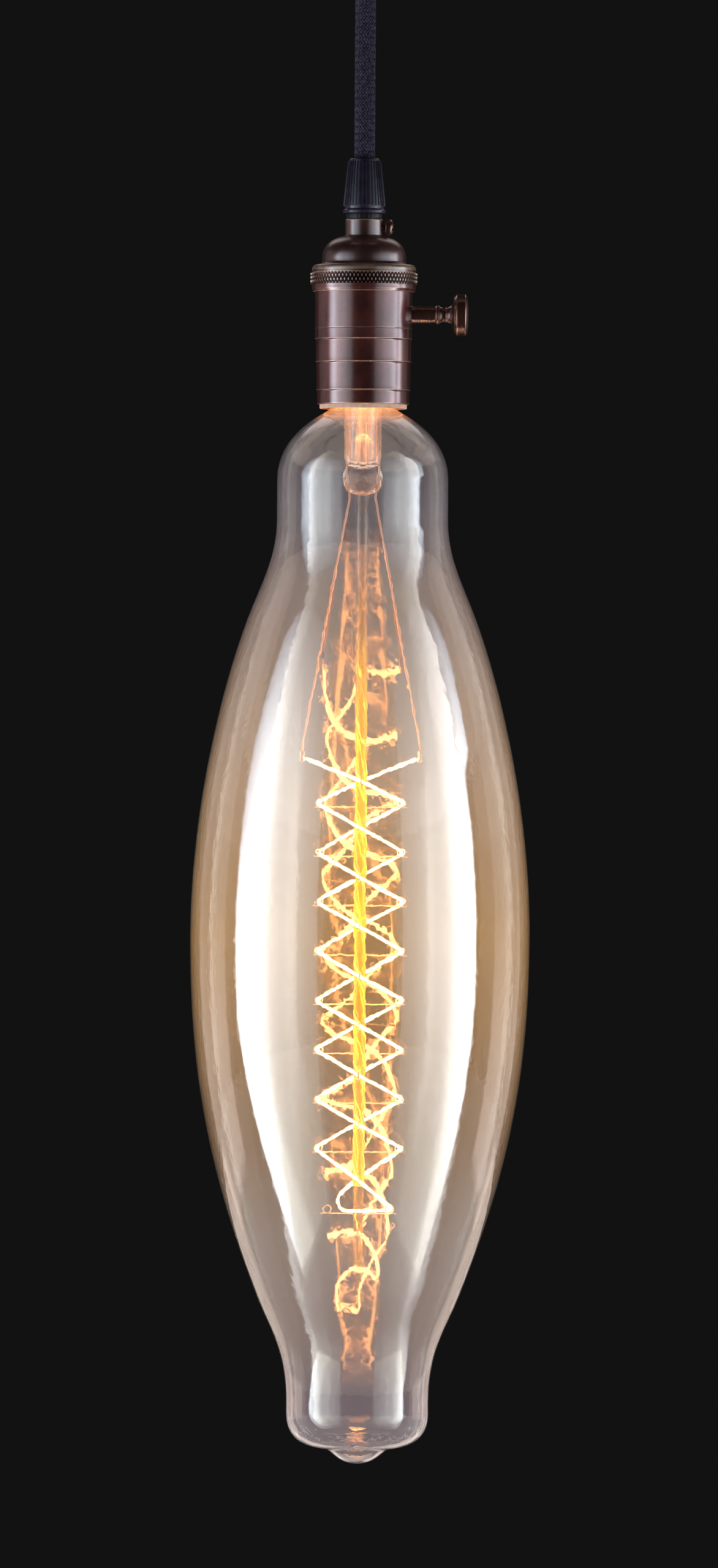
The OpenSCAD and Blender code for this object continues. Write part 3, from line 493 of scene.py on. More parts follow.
# %% The braid
def braid(name):
    """Both sets of yarns round a plain core with round ends, from one grip to the other."""
    length = CORD_TOP - CORD_BOTTOM
    parts = []
    for way, phase in ((1, math.pi / 4), (-1, math.pi * 5 / 4)):
        yarn = grow("yarn", bpy.data.meshes.new("yarn"), YARN, BRAIDED_COTTON, Length=length * MM,
                    Winds=WINDS * way, Crossings=2 * WINDS * YARNS, Phase=phase)
        parts.append(grow("yarns", yarn.data, RING, BRAIDED_COTTON, Copies=YARNS))
        bpy.data.objects.remove(yarn)
    ball = [(CORE * math.cos(a), CORE * math.sin(a)) for a in (math.radians(15 * i) for i in range(7))]
    core = [(r, -h) for r, h in ball[::-1]] + [(r, length + h) for r, h in ball]
    parts.append(spun("core", core, sides=32, closed=False))
    return smooth(shift(weld(name, *parts), z=CORD_BOTTOM), 80)


cloth_cord = fit(braid("cloth_cord"), BRAIDED_COTTON, "hanging_cord", "braided_cloth", "cord")
print("cord box:", [round(v, 4) for v in cloth_cord.dimensions])

# %% [markdown]
# ## The studio
#
# Glass and bronze show what stands round them, so the studio matters as much as the finish.
# Two tall softboxes stand in front, to the left and right, each brightest along its far edge
# and at the height of the bulb. Weaker, warmer ones stand behind: two draw the fine lines
# along the rims, two high ones shine on the shoulder of the glass, and the low ones on its
# tail. Three small boxes light only the holder. An area light can carry such a pattern: its
# Parametric output runs from 0 to 1 across it and up it. A box would also be seen straight
# through the glass, so it hides from rays that were passed on and never mirrored. Everything
# else is dark, and the camera finds a black backdrop.

# %% The dark room
BACKDROP, ROOM = (0.006, 0.006, 0.006), (0.012, 0.011, 0.011)


def bounces(tree, kind):
    """How often a ray was mirrored (Glossy), scattered (Diffuse) or passed on (Transmission)."""
    return get(tree, "ShaderNodeLightPath", output=kind + " Depth")


def dark_room():
    """A world that is the backdrop to the camera, and the room to everything that it lights."""
    world = bpy.data.worlds.new("dark_room")
    scene.world = world
    world.use_nodes = True
    tree = world.node_tree
    tree.nodes.clear()
    backdrop, room = (get(tree, "ShaderNodeBackground", {0: colour, 1: 1}) for colour in (BACKDROP, ROOM))
    bounced = (bounces(tree, "Glossy") + bounces(tree, "Diffuse")).apply("GREATER_THAN", 0.5)
    seen = get(tree, "ShaderNodeMixShader", {0: bounced, 1: backdrop, 2: room})
    give(tree, seen, add(tree, "ShaderNodeOutputWorld").inputs[0])
    return world


print("world:", dark_room().name)

# %% How bright each softbox is
# From its near edge (0) to its far edge (1).
FRONT_ACROSS = [(0, 0.10), (0.22, 0.17), (0.28, 0.26), (0.40, 0.28), (0.46, 0.31), (0.54, 0.37),
                (0.61, 0.46), (0.65, 0.66), (0.70, 0.95), (0.80, 1)]
BACK_ACROSS = [(0, 0), (0.06, 0), (0.08, 1), (0.50, 1), (0.53, 0.75), (0.88, 0.75), (0.90, 0)]
EDGE_ACROSS = [(0, 0.7), (0.3, 1), (0.7, 0.9), (1, 0.3)]
FOOT_ACROSS = [(0, 1), (0.38, 1), (0.44, 0.15), (0.56, 0.15), (0.62, 1), (1, 1)]
HIGH_ACROSS = [(0, 0.4), (0.3, 1), (0.7, 1), (1, 0)]
LOW_ACROSS = [(0, 0), (0.2, 1)]
# And in what colour, from its foot (0) to its top (1).
FRONT_UPRIGHT = [(0, (0.22, 0.22, 0.19)), (0.16, (0.27, 0.28, 0.25)), (0.22, (0.32, 0.35, 0.34)),
                 (0.30, (0.46, 0.51, 0.53)), (0.38, (0.72, 0.80, 0.86)), (0.44, (0.84, 0.94, 1)),
                 (0.56, (0.84, 0.94, 1)), (0.65, (0.66, 0.75, 0.84)), (0.73, (0.43, 0.50, 0.58)),
                 (0.82, (0.25, 0.29, 0.35)), (0.875, (0.14, 0.16, 0.20)), (0.89, (0, 0, 0))]
BACK_UPRIGHT = [(0, (0.66, 0.55, 0.50)), (0.24, (0.60, 0.50, 0.46)), (0.32, (0.40, 0.34, 0.30)),
                (0.40, (0.20, 0.18, 0.17)), (1, (0.16, 0.15, 0.16))]
EDGE_UPRIGHT = [(0, (0.9, 0.92, 1)), (0.6, (0.9, 0.92, 1)), (1, (0.7, 0.72, 0.8))]
HIGH_UPRIGHT = [(0, (0.8, 0.7, 0.7)), (0.4, (1, 0.88, 0.88)), (1, (0.5, 0.42, 0.42))]
LOW_UPRIGHT = [(0, (0.9, 0.75, 0.65)), (1, (1, 0.82, 0.72))]
print("ramps:", len(FRONT_ACROSS), "steps across and", len(FRONT_UPRIGHT), "up the front boxes")

# %% The softboxes
SIDES = ((-1, "left"), (1, "right"))
BOX_DISTANCE = 0.55  # metres from the lamp's axis
BEND_BELOW, LEAN_FROM, LEAN_REACH = 0.36, 0.61, 0.03  # shares of a box's height
EDGE_BLUR, FOOT_BLUR = 0.02, 0.03
not_the_floor = bpy.data.collections.new("not_the_floor")


def softbox(name, side, azimuth, middle, size, power, across, upright, far_edge=1.0, bend=0.0, droop=0.0,
            lean=0.0, distance=BOX_DISTANCE, lights=not_the_floor):
    """An upright area light that faces the lamp. The azimuth is measured from the camera's side."""
    lamp = bpy.data.lights.new(name, "AREA")
    lamp.shape, lamp.size, lamp.size_y = "RECTANGLE", *size
    lamp.energy = power * math.pi * size[0] * size[1]
    lamp.use_nodes = True
    tree = lamp.node_tree
    parametric = get(tree, "ShaderNodeNewGeometry", output="Parametric")
    u, v = (get(tree, "ShaderNodeSeparateXYZ", {0: parametric}, axis) for axis in (0, 1))
    u = 1 - u if side < 0 else u
    u = u + (BEND_BELOW - v).at_least(0) * bend
    u = u - (v - LEAN_FROM).at_least(0).at_most(LEAN_REACH) * lean
    corner = u.apply("POWER", 6) * droop + v
    colour = get(tree, "ShaderNodeMix", {0: 1, 6: corner.levels(upright), 7: u.levels(across)}, 2,
                 data_type="RGBA", blend_type="MULTIPLY")
    # Sharp at the far edge, soft at the foot, and unseen straight through the glass.
    passed_on = bounces(tree, "Transmission").apply("GREATER_THAN", 0.5)
    unmirrored = bounces(tree, "Glossy").apply("LESS_THAN", 0.5)
    edge = u.stretch(far_edge, far_edge - EDGE_BLUR)
    shine = edge * v.stretch(0, FOOT_BLUR) * (1 - passed_on * unmirrored)
    give(tree, colour, tree.nodes["Emission"].inputs["Color"])
    give(tree, shine, tree.nodes["Emission"].inputs["Strength"])
    box = place(name, lamp)
    facing = side * math.radians(azimuth)
    box.location = (distance * math.sin(facing), -distance * math.cos(facing), middle)
    box.rotation_euler = (math.radians(90), 0, facing)
    box.visible_camera = False
    box.light_linking.receiver_collection = lights


for (side, label), far_edge, bend, lean in zip(SIDES, (0.955, 0.825), (1.1, 0.4), (0.0, 4.0)):
    softbox("front_box_" + label, side, 60, -0.33, (0.70, 1.20), 4.6, FRONT_ACROSS, FRONT_UPRIGHT, far_edge,
            bend, 0.33, lean)
    softbox("high_box_" + label, side, 155, 0.34, (0.30, 0.50), 0.8, HIGH_ACROSS, HIGH_UPRIGHT)
    softbox("back_box_" + label, side, 118, -0.30, (0.42, 0.74), 0.85, BACK_ACROSS, BACK_UPRIGHT)
    softbox("low_box_" + label, side, 143, -0.72, (0.36, 0.26), 0.50, LOW_ACROSS, LOW_UPRIGHT)
softbox("foot_box", 1, 180, -0.80, (0.50, 0.15), 0.7, FOOT_ACROSS, LOW_UPRIGHT, distance=0.30)
# Three small boxes light only the holder, so that they don't mirror in the glass below.
softbox("edge_box_right", 1, 98, -0.10, (0.13, 0.22), 3.2, EDGE_ACROSS, EDGE_UPRIGHT, lights=holder_pieces)
for side, label in SIDES[::-1]:
    softbox("rim_box_" + label, side, 118, -0.10, (0.42, 0.22), 0.8, BACK_ACROSS, EDGE_UPRIGHT,
            lights=holder_pieces)

# %% [markdown]
# ## The floor
#
# A pale round floor lies well below the bulb, out of the camera's picture. One broad light
# from above falls on it alone, and no softbox does, so it stays plain. Mirror reflections
# pass it by, so that it doesn't cut the panels off where the glass curves under. From below
# it is clear.

# %% A pale floor
FLOOR_DEPTH, FLOOR_RADIUS = -0.90, 2.3  # metres


def pale_floor():
    mesh = sculpt("floor", bmesh.ops.create_circle, cap_ends=True, segments=96, radius=FLOOR_RADIUS,
                  matrix=Matrix.Translation((0, 0, FLOOR_DEPTH)))
    finish, tree = new_finish("pale_floor", Roughness=0.9)
    tone = grain(tree, EVENLY, 3, 4).stretch(0.3, 0.7)
    dress(finish, Base_Color=tone.blend((0.70, 0.69, 0.68), (0.76, 0.75, 0.74)))
    below = get(tree, "ShaderNodeNewGeometry", output="Backfacing")
    pale = Signal(tree, tree.nodes["Principled BSDF"].outputs[0])
    clear = get(tree, "ShaderNodeBsdfTransparent")
    face = get(tree, "ShaderNodeMixShader", {0: below, 1: pale, 2: clear})
    give(tree, face, tree.nodes["Material Output"].inputs["Surface"])
    mesh.materials.append(finish)
    floor = place("floor", mesh)
    floor.visible_glossy = False
    not_the_floor.objects.link(floor)
    not_the_floor.collection_objects[0].light_linking.link_state = "EXCLUDE"
    return floor


def floor_light(floor):
    """One broad soft light from above, for the floor alone."""
    lamp = bpy.data.lights.new("floor_light", "AREA")
    lamp.shape, lamp.size, lamp.energy = "DISK", 3.0, 80.0
    light = place("floor_light", lamp)
    light.location = (0, 0, 1.8)
    light.visible_camera = light.visible_glossy = light.visible_transmission = False
    only_floor = bpy.data.collections.new("only_floor")
    only_floor.objects.link(floor)
    light.light_linking.receiver_collection = only_floor
    return light


print("lit by:", floor_light(pale_floor()).name)

# %% [markdown]
# ## The glass bulb
#
# The bulb is blown glass only 0.7 mm thick, so it is made as a real wall with an outer and an
# inner face: light bends and mirrors on both, which gives the fine double lines at the rims.
# Its outline is a chain of smooth curves, measured down from the top of the glass.

# %% The outline of the glass
GLASS_TOP, GLASS_LENGTH = -203.3, 395  # mm
NECK, WIDEST, TAIL, THROAT = 32.1, 63.7, 26.7, 11.6  # radii


def glass_outline(inset):
    """Half of the bulb's section, inset from its outer face, as (radius, height) points."""
    n, b, q, throat = NECK - inset, WIDEST - inset, TAIL - inset, THROAT - inset
    collar, end = 13.4 - 0.6 * inset, GLASS_LENGTH - inset
    belly, hip = n + (b - n) * 0.33, q + (b - q) * 0.316
    section = outline(
        (throat, -14), (throat, -3),
        (6, (throat + 0.6, -1.2), (throat + 1, -0.6 + inset / 2), (collar, inset * 0.6)),
        (24, (n - 10.6, 4.5 + inset * 0.6), (n, 12), (n, 26)),
        (n, 33), (n, 40.5),
        (16, (n, 55), (belly - 5, 64), (belly, 77.2)),
        (30, (belly + 10, 103.6), (b, 150), (b, 197)),
        (34, (b, 250), (hip + 17.5, 286), (hip, 331)),
        (16, (hip - 5.4, 345), (q, 352), (q, 372)),
        (q, end - 19),
        (16, (q, end - 11), (q * 0.84, end - 6.4), (11.5, end - 5.6)),
        (12, (8.5, end - 3.4), (6, end), (0, end)),
    )
    return [(r, GLASS_TOP - depth) for r, depth in section]


print("half section: %d points" % len(glass_outline(0)))

# %% The glass, with its two faces
GLASS_WALL = 0.7
CLEAR = dict(Roughness=0, IOR=1.5, Transmission_Weight=1)
# Painted glow: the glass's emission stands in for the filament's light scattered in it, amber
# beside the filament, grey-violet at both ends and orange at the collar. From the foot (0) to the top (1).
PAINTED_GLASS_GLOW = [(0, (0.12, 0.09, 0.11)), (0.02, (0.14, 0.11, 0.13)), (0.05, (0.21, 0.17, 0.20)),
                (0.13, (0.24, 0.17, 0.15)), (0.22, (0.31, 0.23, 0.19)), (0.30, (0.30, 0.18, 0.10)),
                (0.50, (0.54, 0.31, 0.13)), (0.64, (0.48, 0.31, 0.19)), (0.80, (0.22, 0.16, 0.14)),
                (0.90, (0.17, 0.15, 0.17)), (0.95, (0.10, 0.085, 0.095)), (0.982, (0.09, 0.075, 0.08)),
                (0.99, (1, 0.35, 0.10))]
# And how thick the mirror coat is there.
COATING_WEIGHT = [(0, 0.8), (0.03, 0.45), (0.22, 1), (0.70, 1), (0.80, 0.6), (0.87, 0.34)]


def smoky_glass():
    finish, tree = new_finish("smoky_glass", **CLEAR, Coat_Roughness=0, Coat_IOR=2, Emission_Strength=0.2)
    share = height_on(tree).stretch(-0.6, -0.2)
    haze = grain(tree, (1, 1, 0.5), 14).stretch(0.3, 0.7)
    # Painted glow in the emission, by height, and the coat's thickness, by height.
    dress(finish, Emission_Color=share.levels(PAINTED_GLASS_GLOW), Coat_Weight=share.levels(COATING_WEIGHT))
    return dress(finish, Base_Color=haze.blend((0.985, 0.945, 0.905), (0.975, 0.925, 0.875)),
                 Normal=grain(tree, (1, 1, 0.7), 170, 2).bumps(0.00014))


glass_bulb = spun("glass_bulb", glass_outline(0) + glass_outline(GLASS_WALL)[::-1], sides=160)
fit(glass_bulb, smoky_glass(), "bulb", "tinted_glass", "glass_envelope")

# %% [markdown]
# ## The glowing filament
#
# The filament is one long coiled wire, lit white hot. It is led down one side of a cage of
# hooks and back up the other, a quarter turn at each hook, so the two runs cross again and
# again. The rule gives the hooks' places, and a tree rounds the corners and gives the wire
# its thickness.

# %% The filament's path
HOOKS = 18
CAGE_RADIUS, CAGE_END, EYE = 15.2, 11.8, 1.485  # mm
CAGE_TOP, CAGE_FOOT = -333.9, -503.9
FIRST_FALL, HALF_TURN_FALL, LAST_FALL = 16.5, 18.5, 23.0
LEAD_END, INWARDS = 20.5, 2.25  # the first corner's radius, and how far the next one comes in


def hook_height(k):
    if k <= 2:
        return CAGE_TOP - FIRST_FALL * k / 2
    if k <= HOOKS - 2:
        return CAGE_TOP - FIRST_FALL - HALF_TURN_FALL * (k - 2) / 2
    return CAGE_TOP - FIRST_FALL - HALF_TURN_FALL * 7 - LAST_FALL + LAST_FALL * (HOOKS - k) / 2


def hook_radius(k):
    if k < 2:
        return LEAD_END - INWARDS * k
    return CAGE_RADIUS if k <= HOOKS - 2 else CAGE_END + (CAGE_RADIUS - CAGE_END) * (HOOKS - k) / 2


def turn_to_hook(k, run, x, y, z):
    """A point drawn from the axis along +X, turned to hook k. The way down is run 0, up is 180."""
    a = math.radians(180 + 90 * k + run)
    return (x * math.cos(a) - y * math.sin(a), x * math.sin(a) + y * math.cos(a), z)


def filament_corners():
    """The corners of the wire: down its hooks, across the foot of the cage and up again."""
    def corner(k, run):
        return turn_to_hook(k, run, hook_radius(k) + (EYE if k else 0), 0, hook_height(k))

    down = [corner(k, 0) for k in range(HOOKS + 1)]
    up = [corner(k, 180) for k in range(HOOKS, -1, -1)]
    return down + [turn_to_hook(HOOKS + 1, 0, CAGE_END + EYE, 0, CAGE_FOOT)] + up


corners = filament_corners()
length = sum(math.dist(a, b) for a, b in zip(corners, corners[1:])) * MM
print("filament: %d corners, %.2f m long" % (len(corners), length))

# %% The tree that rounds a path and gives it a thickness
def wire_tree():
    tree, given = new_tree("wire_on_path", Corner=0.0035, Radius=0.0008, Sides=10)
    path = get(tree, "GeometryNodeMeshToCurve", {"Mesh": given["Geometry"]})
    sockets = {"Curve": path, "Radius": given["Corner"], "Limit Radius": True, "Count": 6}
    rounded = get(tree, "GeometryNodeFilletCurve", sockets, mode="POLY")
    return end_tree(tree, given, tube(tree, rounded, given["Radius"], given["Sides"]))


WIRE = wire_tree()


def wire(name, finish, radius, *paths, corner=None, sides=10):
    """One or more wires along paths of points in mm, as one piece."""
    verts, edges = [], []
    for path in paths:
        edges += [(len(verts) + i, len(verts) + i + 1) for i in range(len(path) - 1)]
        verts += [tuple(c * MM for c in point) for point in path]
    mesh = bpy.data.meshes.new(name)
    mesh.from_pydata(verts, edges, [])
    sizes = dict(Corner=(corner or radius * 4) * MM, Radius=radius * MM, Sides=sides)
    return smooth(grow(name, mesh, WIRE, finish, **sizes), 80)


print("tree:", WIRE.name, "with", len(WIRE.nodes), "nodes")

# %% The filament
WHITE_HOT, tree = new_finish("white_hot_wire", Roughness=0.6, Emission_Color=(1, 0.40, 0.12),
                             Emission_Strength=260)
dress(WHITE_HOT, Base_Color=grain(tree, EVENLY, 700, 2).blend((0.9, 0.5, 0.2), (1, 0.7, 0.35)))
filament = wire("glowing_filament", WHITE_HOT, 0.6, corners, corner=3.5)
fit(filament, WHITE_HOT, "bulb", "glowing_filament", "filament")

# %% [markdown]
# ## Finishes for the holder
#
# The holder is spun brass with a dark bronzed finish under clear lacquer. The lacquer mirrors
# the soft panels in grey while the bronze below stays red-brown, so the shader is a dark
# metal with a coat. Fine turning marks run round each piece, and the outer corners are
# rubbed down to copper by the attribute that the outlines carry. The same attribute paints
# shade into the knurl's grooves, which come out near black and without lacquer.

# %% Bronze, plastic and the other plain finishes
AROUND_Z, AROUND_X = (0.02, 0.02, 1), (1, 0.02, 0.02)  # how turning marks are stretched


def bronze_finish(name, marks, dark, brown, copper, gloss=0.30, lacquer=0.2):
    """Painted shade and rubbed copper: the outlines' mark runs from -1 in the knurl's grooves, which are
    painted dull and near black as shade, to 1 on the rubbed edges.
    """
    finish, tree = new_finish(name, Metallic=0.8, Coat_Roughness=lacquer, Coat_IOR=2.5)
    turning = grain(tree, marks, 5200, 2)
    cloud = grain(tree, (1, 1, 0.6), 110, 5, 0.6).stretch(0.38, 0.66)
    wear = get(tree, "ShaderNodeAttribute", output="Fac", attribute_name="wear")
    worn = (wear + grain(tree, EVENLY, 420) * 0.7 - 0.38).stretch(0.3, 1.1)
    outside_painted_shade = wear.stretch(-1, -0.2)
    # Painted shade in the knurl's grooves: near black, with almost no lacquer on the next line.
    colour = outside_painted_shade.blend((0.006, 0.003, 0.003), worn.blend(cloud.blend(dark, brown), copper))
    return dress(finish, Base_Color=colour, Coat_Weight=outside_painted_shade.stretch(0, 1, 0.03, 1),
                 Roughness=turning.stretch(0.2, 0.8, gloss, gloss + 0.16), Normal=turning.bumps(0.000012))


def speckled_finish(name, low, high, scale, bumps=0.0, **values):
    """A plain material whose colour wanders between two tones."""
    finish, tree = new_finish(name, **values)
    dress(finish, Base_Color=grain(tree, EVENLY, scale).stretch(0.35, 0.65).blend(low, high))
    if bumps:
        dress(finish, Normal=grain(tree, EVENLY, scale * 6, 2).bumps(bumps))
    return finish


def metal_finish(name, low, high, scale, rough):
    return speckled_finish(name, low, high, scale, 0.000015, Metallic=1, Roughness=rough)


BRONZE = bronze_finish("dark_bronze", AROUND_Z, (0.130, 0.018, 0.014), (0.27, 0.060, 0.044),
                       (1, 0.66, 0.46))
SATIN_BRONZE = bronze_finish("satin_bronze", AROUND_Z, (0.090, 0.020, 0.013), (0.20, 0.070, 0.050),
                             (1, 0.66, 0.42), 0.42, 0.26)
KNOB_BRONZE = bronze_finish("knob_bronze", AROUND_X, (0.15, 0.032, 0.012), (0.22, 0.060, 0.024),
                            (0.8, 0.40, 0.24), 0.2)
BLACK_PLASTIC = speckled_finish("black_plastic", (0.022, 0.017, 0.032), (0.038, 0.031, 0.054), 300, 0.00002,
                                Roughness=0.26, Specular_IOR_Level=0.8)
BLACKENED = speckled_finish("blackened_brass", (0.012, 0.010, 0.014), (0.022, 0.019, 0.026), 300, 0.00002,
                            Metallic=0.2, Roughness=0.34)
PASTEBOARD = speckled_finish("pasteboard", (0.84, 0.52, 0.38), (0.94, 0.68, 0.54), 500, 0.00006,
                             Roughness=0.85)
PLAIN_BRASS = metal_finish("plain_brass", (0.72, 0.52, 0.27), (0.82, 0.62, 0.34), 160, 0.26)
print("finishes:", len(bpy.data.materials))

# %% [markdown]
# ## The ribbed grips
#
# A black plastic grip squeezes the cord at either end. It is a taper with fine ribs along its
# whole length and a flange at its wide end, and it screws on with a hollow stud. The taper is
# turned, one rib is drawn as a rounded bar, and the ring tree sets 34 of them. The grip at
# the ceiling is the same piece the other way up.

# %% Both grips
GRIP_RIBS = 34
SUNK, RUN_OUT, TIP = 0.6, 0.35, 0.35  # mm deep in the wall, mm past each end, share of the rise there
GRIP_OUTLINE = [
    (2.9, -32.5), (4.9, -32.5), (4.9, -20.5), (8.05, -20.5), (8.05, -19.4), (7.35, -18.9), (7.5, -17.9),
    (5.75, -0.4), (5.35, 0), (4.3, 0), (4.1, -1.4), (3.2, -2.9), (2.9, -3.2),
]


def rib(low, high, half_width, rise):
    """A bar with a rounded back from one (radius, height) point to another, lying along +X."""
    side = [(half_width, -SUNK), (half_width, rise * 0.5), (half_width * 0.6, rise * 0.93)]
    section = [(-w, s) for w, s in side] + [(0, rise)] + side[::-1]
    verts, faces, n = [], [], len(section)
    for (r, h), lift, past in ((low, TIP, -RUN_OUT), (low, 1, 0), (high, 1, 0), (high, TIP, RUN_OUT)):
        verts += [((r + (s if s < 0 else s * lift)) * MM, w * MM, (h + past) * MM) for w, s in section]
    for a in range(0, 3 * n, n):
        faces += [(a + k, a + (k + 1) % n, a + n + (k + 1) % n, a + n + k) for k in range(n)]
    mesh = bpy.data.meshes.new("rib")
    mesh.from_pydata(verts, [], faces + [tuple(range(n)), tuple(range(3 * n, 4 * n))])
    face_outwards(mesh)
    return mesh


def ribbed_grip(name, face_height, flip):
    """A grip whose face, where the cord goes in, lies at that height."""
    bar = rib((7.35, -17.5), (5.75, -1.2), 0.31, 0.52)
    ribs = grow("ribs", bar, RING, BLACK_PLASTIC, Copies=GRIP_RIBS)
    grip = turn(weld(name, spun("taper", GRIP_OUTLINE, 0.15, 96), ribs), flip, "X")
    return smooth(shift(grip, z=face_height))


lower_grip = ribbed_grip("lower_grip", CORD_BOTTOM, 0)
fit(lower_grip, BLACK_PLASTIC, "lampholder", "black_plastic", "cord_grip")
upper_grip = ribbed_grip("upper_grip", CORD_TOP, 180)
fit(upper_grip, BLACK_PLASTIC, "ceiling_fitting", "black_plastic", "ceiling_grip")

# %% [markdown]
# ## The cap of the holder
#
# Below the grip come a small grooved nut, a straight neck, a low dome and a rounded shoulder,
# all spun from one sheet. The nut's grooves are copies of one thin ridge. The neck carries a
# round-headed screw on its right that clamps the grip's stud.

# %% The grooved nut under the grip
NUT_TOP, NECK_TOP, DOME_TOP = -129.0, -131.1, -137.5
NUT_OUTLINE = [(5.2, NECK_TOP), (6.5, NECK_TOP), (6.8, -130.8), (6.8, -129.4), (6.5, NUT_TOP),
               (5.2, NUT_TOP)]
nut_ridge = rib((6.7, -130.75), (6.7, -129.35), 0.36, 0.16)
nut_ridges = grow("nut_ridges", nut_ridge, RING, BLACKENED, Copies=28)
grooved_nut = smooth(weld("grooved_nut", spun("nut_body", NUT_OUTLINE, 0.12, 96), nut_ridges))
fit(grooved_nut, BLACKENED, "lampholder", "aged_bronze", "grip_nut")

# %% The spun cap
CAP_OUTLINE = outline(
    (17.6, -154.9), (18.2, -154.9), (18.2, -151.5), (19.5, -151.5), (19.5, -150.3),
    (10, (19.5, -148.9), (18.9, -148.3), (16.9, -148.2)),
    (5, (16.3, -148.2), (15.75, -147.9), (15.7, -147.1)),
    (15.7, -146.14),
    (20, (15.7, -139.9), (10.4, -138.1), (7.1, DOME_TOP)),
    (7.1, -131.5), (6.7, NECK_TOP), (5.2, NECK_TOP), (5.2, -138.3), (7.1, -138.4),
    (10, (10.1, -138.9), (15.1, -140.5), (15.1, -146.14)),
    (15.1, -149.5), (17.6, -149.5),
)
BEAD_RADIUS, BEAD_FOOT, BEAD_WEAR = 16.6, -150.4, 0.62  # the bead over the ring, where hands rub
cap_points = [(r, h, BEAD_WEAR if r > BEAD_RADIUS and h > BEAD_FOOT else worn)
              for r, h, worn in soften(CAP_OUTLINE, 0.18)]
fit(spun("holder_cap", cap_points, sides=160), SATIN_BRONZE, "lampholder", "aged_bronze", "socket_cap")

# %% The clamping screw on the neck
SIDE_SCREW_HEIGHT = -134.3


def cut_away(thing, cutter):
    """Cuts one mesh out of another and keeps the result as a plain mesh."""
    modifier = thing.modifiers.new("cut", "BOOLEAN")
    modifier.object, modifier.operation, modifier.solver = cutter, "DIFFERENCE", "EXACT"
    settle(thing)
    bpy.data.objects.remove(cutter)
    return thing


def block(size, centre):
    """A plain box in mm, for cutting a slot."""
    middle = Matrix.Translation([c * MM for c in centre])
    matrix = middle @ Matrix.Diagonal([s * MM for s in size]).to_4x4()
    return place("block", sculpt("block", bmesh.ops.create_cube, size=1, matrix=matrix))


def round_screw(name, shank, head, height):
    """A slotted screw along +X. shank is (radius, start) and head is (radius, start, length)."""
    (sr, sx), (hr, hx, hl) = shank, head
    points = outline((0, sx), (sr, sx), (sr, hx), (hr - 0.2, hx), (hr, hx + 0.25), (hr, hx + hl * 0.45),
                     (8, (hr, hx + hl * 0.85), (hr * 0.6, hx + hl), (0, hx + hl)))
    screw = spun(name, points, 0.12, 64, closed=False, axis="X")
    cut_away(screw, turn(block((1.6, 9, 0.9), (hx + hl, 0, 0)), 20, "X"))
    return smooth(shift(screw, z=height), 30)


neck_screw = round_screw("neck_screw", (1.5, 4.95), (3.1, 7.9, 3.2), SIDE_SCREW_HEIGHT)
fit(neck_screw, KNOB_BRONZE, "lampholder", "aged_bronze", "side_screw")

# %% [markdown]
# ## The knurled ring
#
# A ring screws over the shoulder and holds the shell up. Its band is knurled with a
# lattice of small diamonds, 84 to a row, each row half a step from the next. One diamond is a
# low pyramid with its tip cut off. The half diamonds at the band's edges come from the same
# shape with one point left out.

# %% The ring and its diamonds
DIAMONDS, BAND_RADIUS, ROW_STEP = 84, 19.55, 1.49
RING_OUTLINE = [(18.5, -158.6), (19.1, -158.6), (19.5, -157.5), (19.5, -156.1), (BAND_RADIUS, -155.8),
                (BAND_RADIUS, -151.7), (19.4, -151.5), (18.3, -151.5), (18.3, -154.7), (19.3, -154.9),
                (19.3, -155.5), (18.5, -155.5)]


def diamond(height, half_width=0.55, reach=1.14, up=True, down=True):
    """A raised diamond on the band, or half of one."""
    low, top, tip = BAND_RADIUS - 0.1, BAND_RADIUS + 0.47, 0.38
    points = [(half_width, 0), (0, reach if up else 0), (-half_width, 0), (0, -reach if down else 0)]
    points = [p for p in points if p != (0, 0)]
    base = [(low * MM, w * MM, (height + h) * MM) for w, h in points]
    crown = [(top * MM, w * tip * MM, (height + h * tip) * MM) for w, h in points]
    n = len(points)
    faces = [(k, (k + 1) % n, n + (k + 1) % n, n + k) for k in range(n)]
    faces = [tuple(range(n)), tuple(range(n, 2 * n))] + faces
    mesh = bpy.data.meshes.new("diamond")
    mesh.from_pydata(base + crown, [], faces)
    wear = mesh.attributes.new("wear", "FLOAT", "POINT").data
    # Painted shade at the diamond's foot (-1), rubbed copper on its crown (1).
    wear.foreach_set("value", [-1.0] * n + [1.0] * n)
    face_outwards(mesh)
    return mesh


def diamond_rows(height, rows=1, **shape):
    sizes = dict(Copies=DIAMONDS, Rows=rows, Rise=ROW_STEP * MM)
    return grow("diamonds", diamond(height, **shape), RING, BRONZE, **sizes)


# The band between the diamonds gets painted shade: it is marked -1, so the finish makes it dull and near
# black.
ring_points = [(r, h, -1.0 if abs(r - BAND_RADIUS) < 0.01 else worn)
               for r, h, worn in soften(RING_OUTLINE, 0.16)]
ring_body = spun("ring_body", ring_points, sides=2 * DIAMONDS)
whole_rows, top_row = diamond_rows(-154.35, rows=2), diamond_rows(-151.62, up=False)
foot_row = turn(diamond_rows(-155.72, reach=0.9, down=False), 180 / DIAMONDS)
knurled_ring = smooth(weld("knurled_ring", ring_body, whole_rows, top_row, foot_row), 30)
fit(knurled_ring, BRONZE, "lampholder", "aged_bronze", "ring_nut")

# %% [markdown]
# ## The shell and its liner
#
# The shell is a brass cup that steps in three times towards its mouth, with a thin line
# scribed above the first step. Each step has a small rolled edge where the finish has rubbed
# through. A pasteboard liner shows below the mouth. The shell has a hole for the knob's stem,
# cut with a boolean, because a round hole across a round wall is hard to draw by hand.

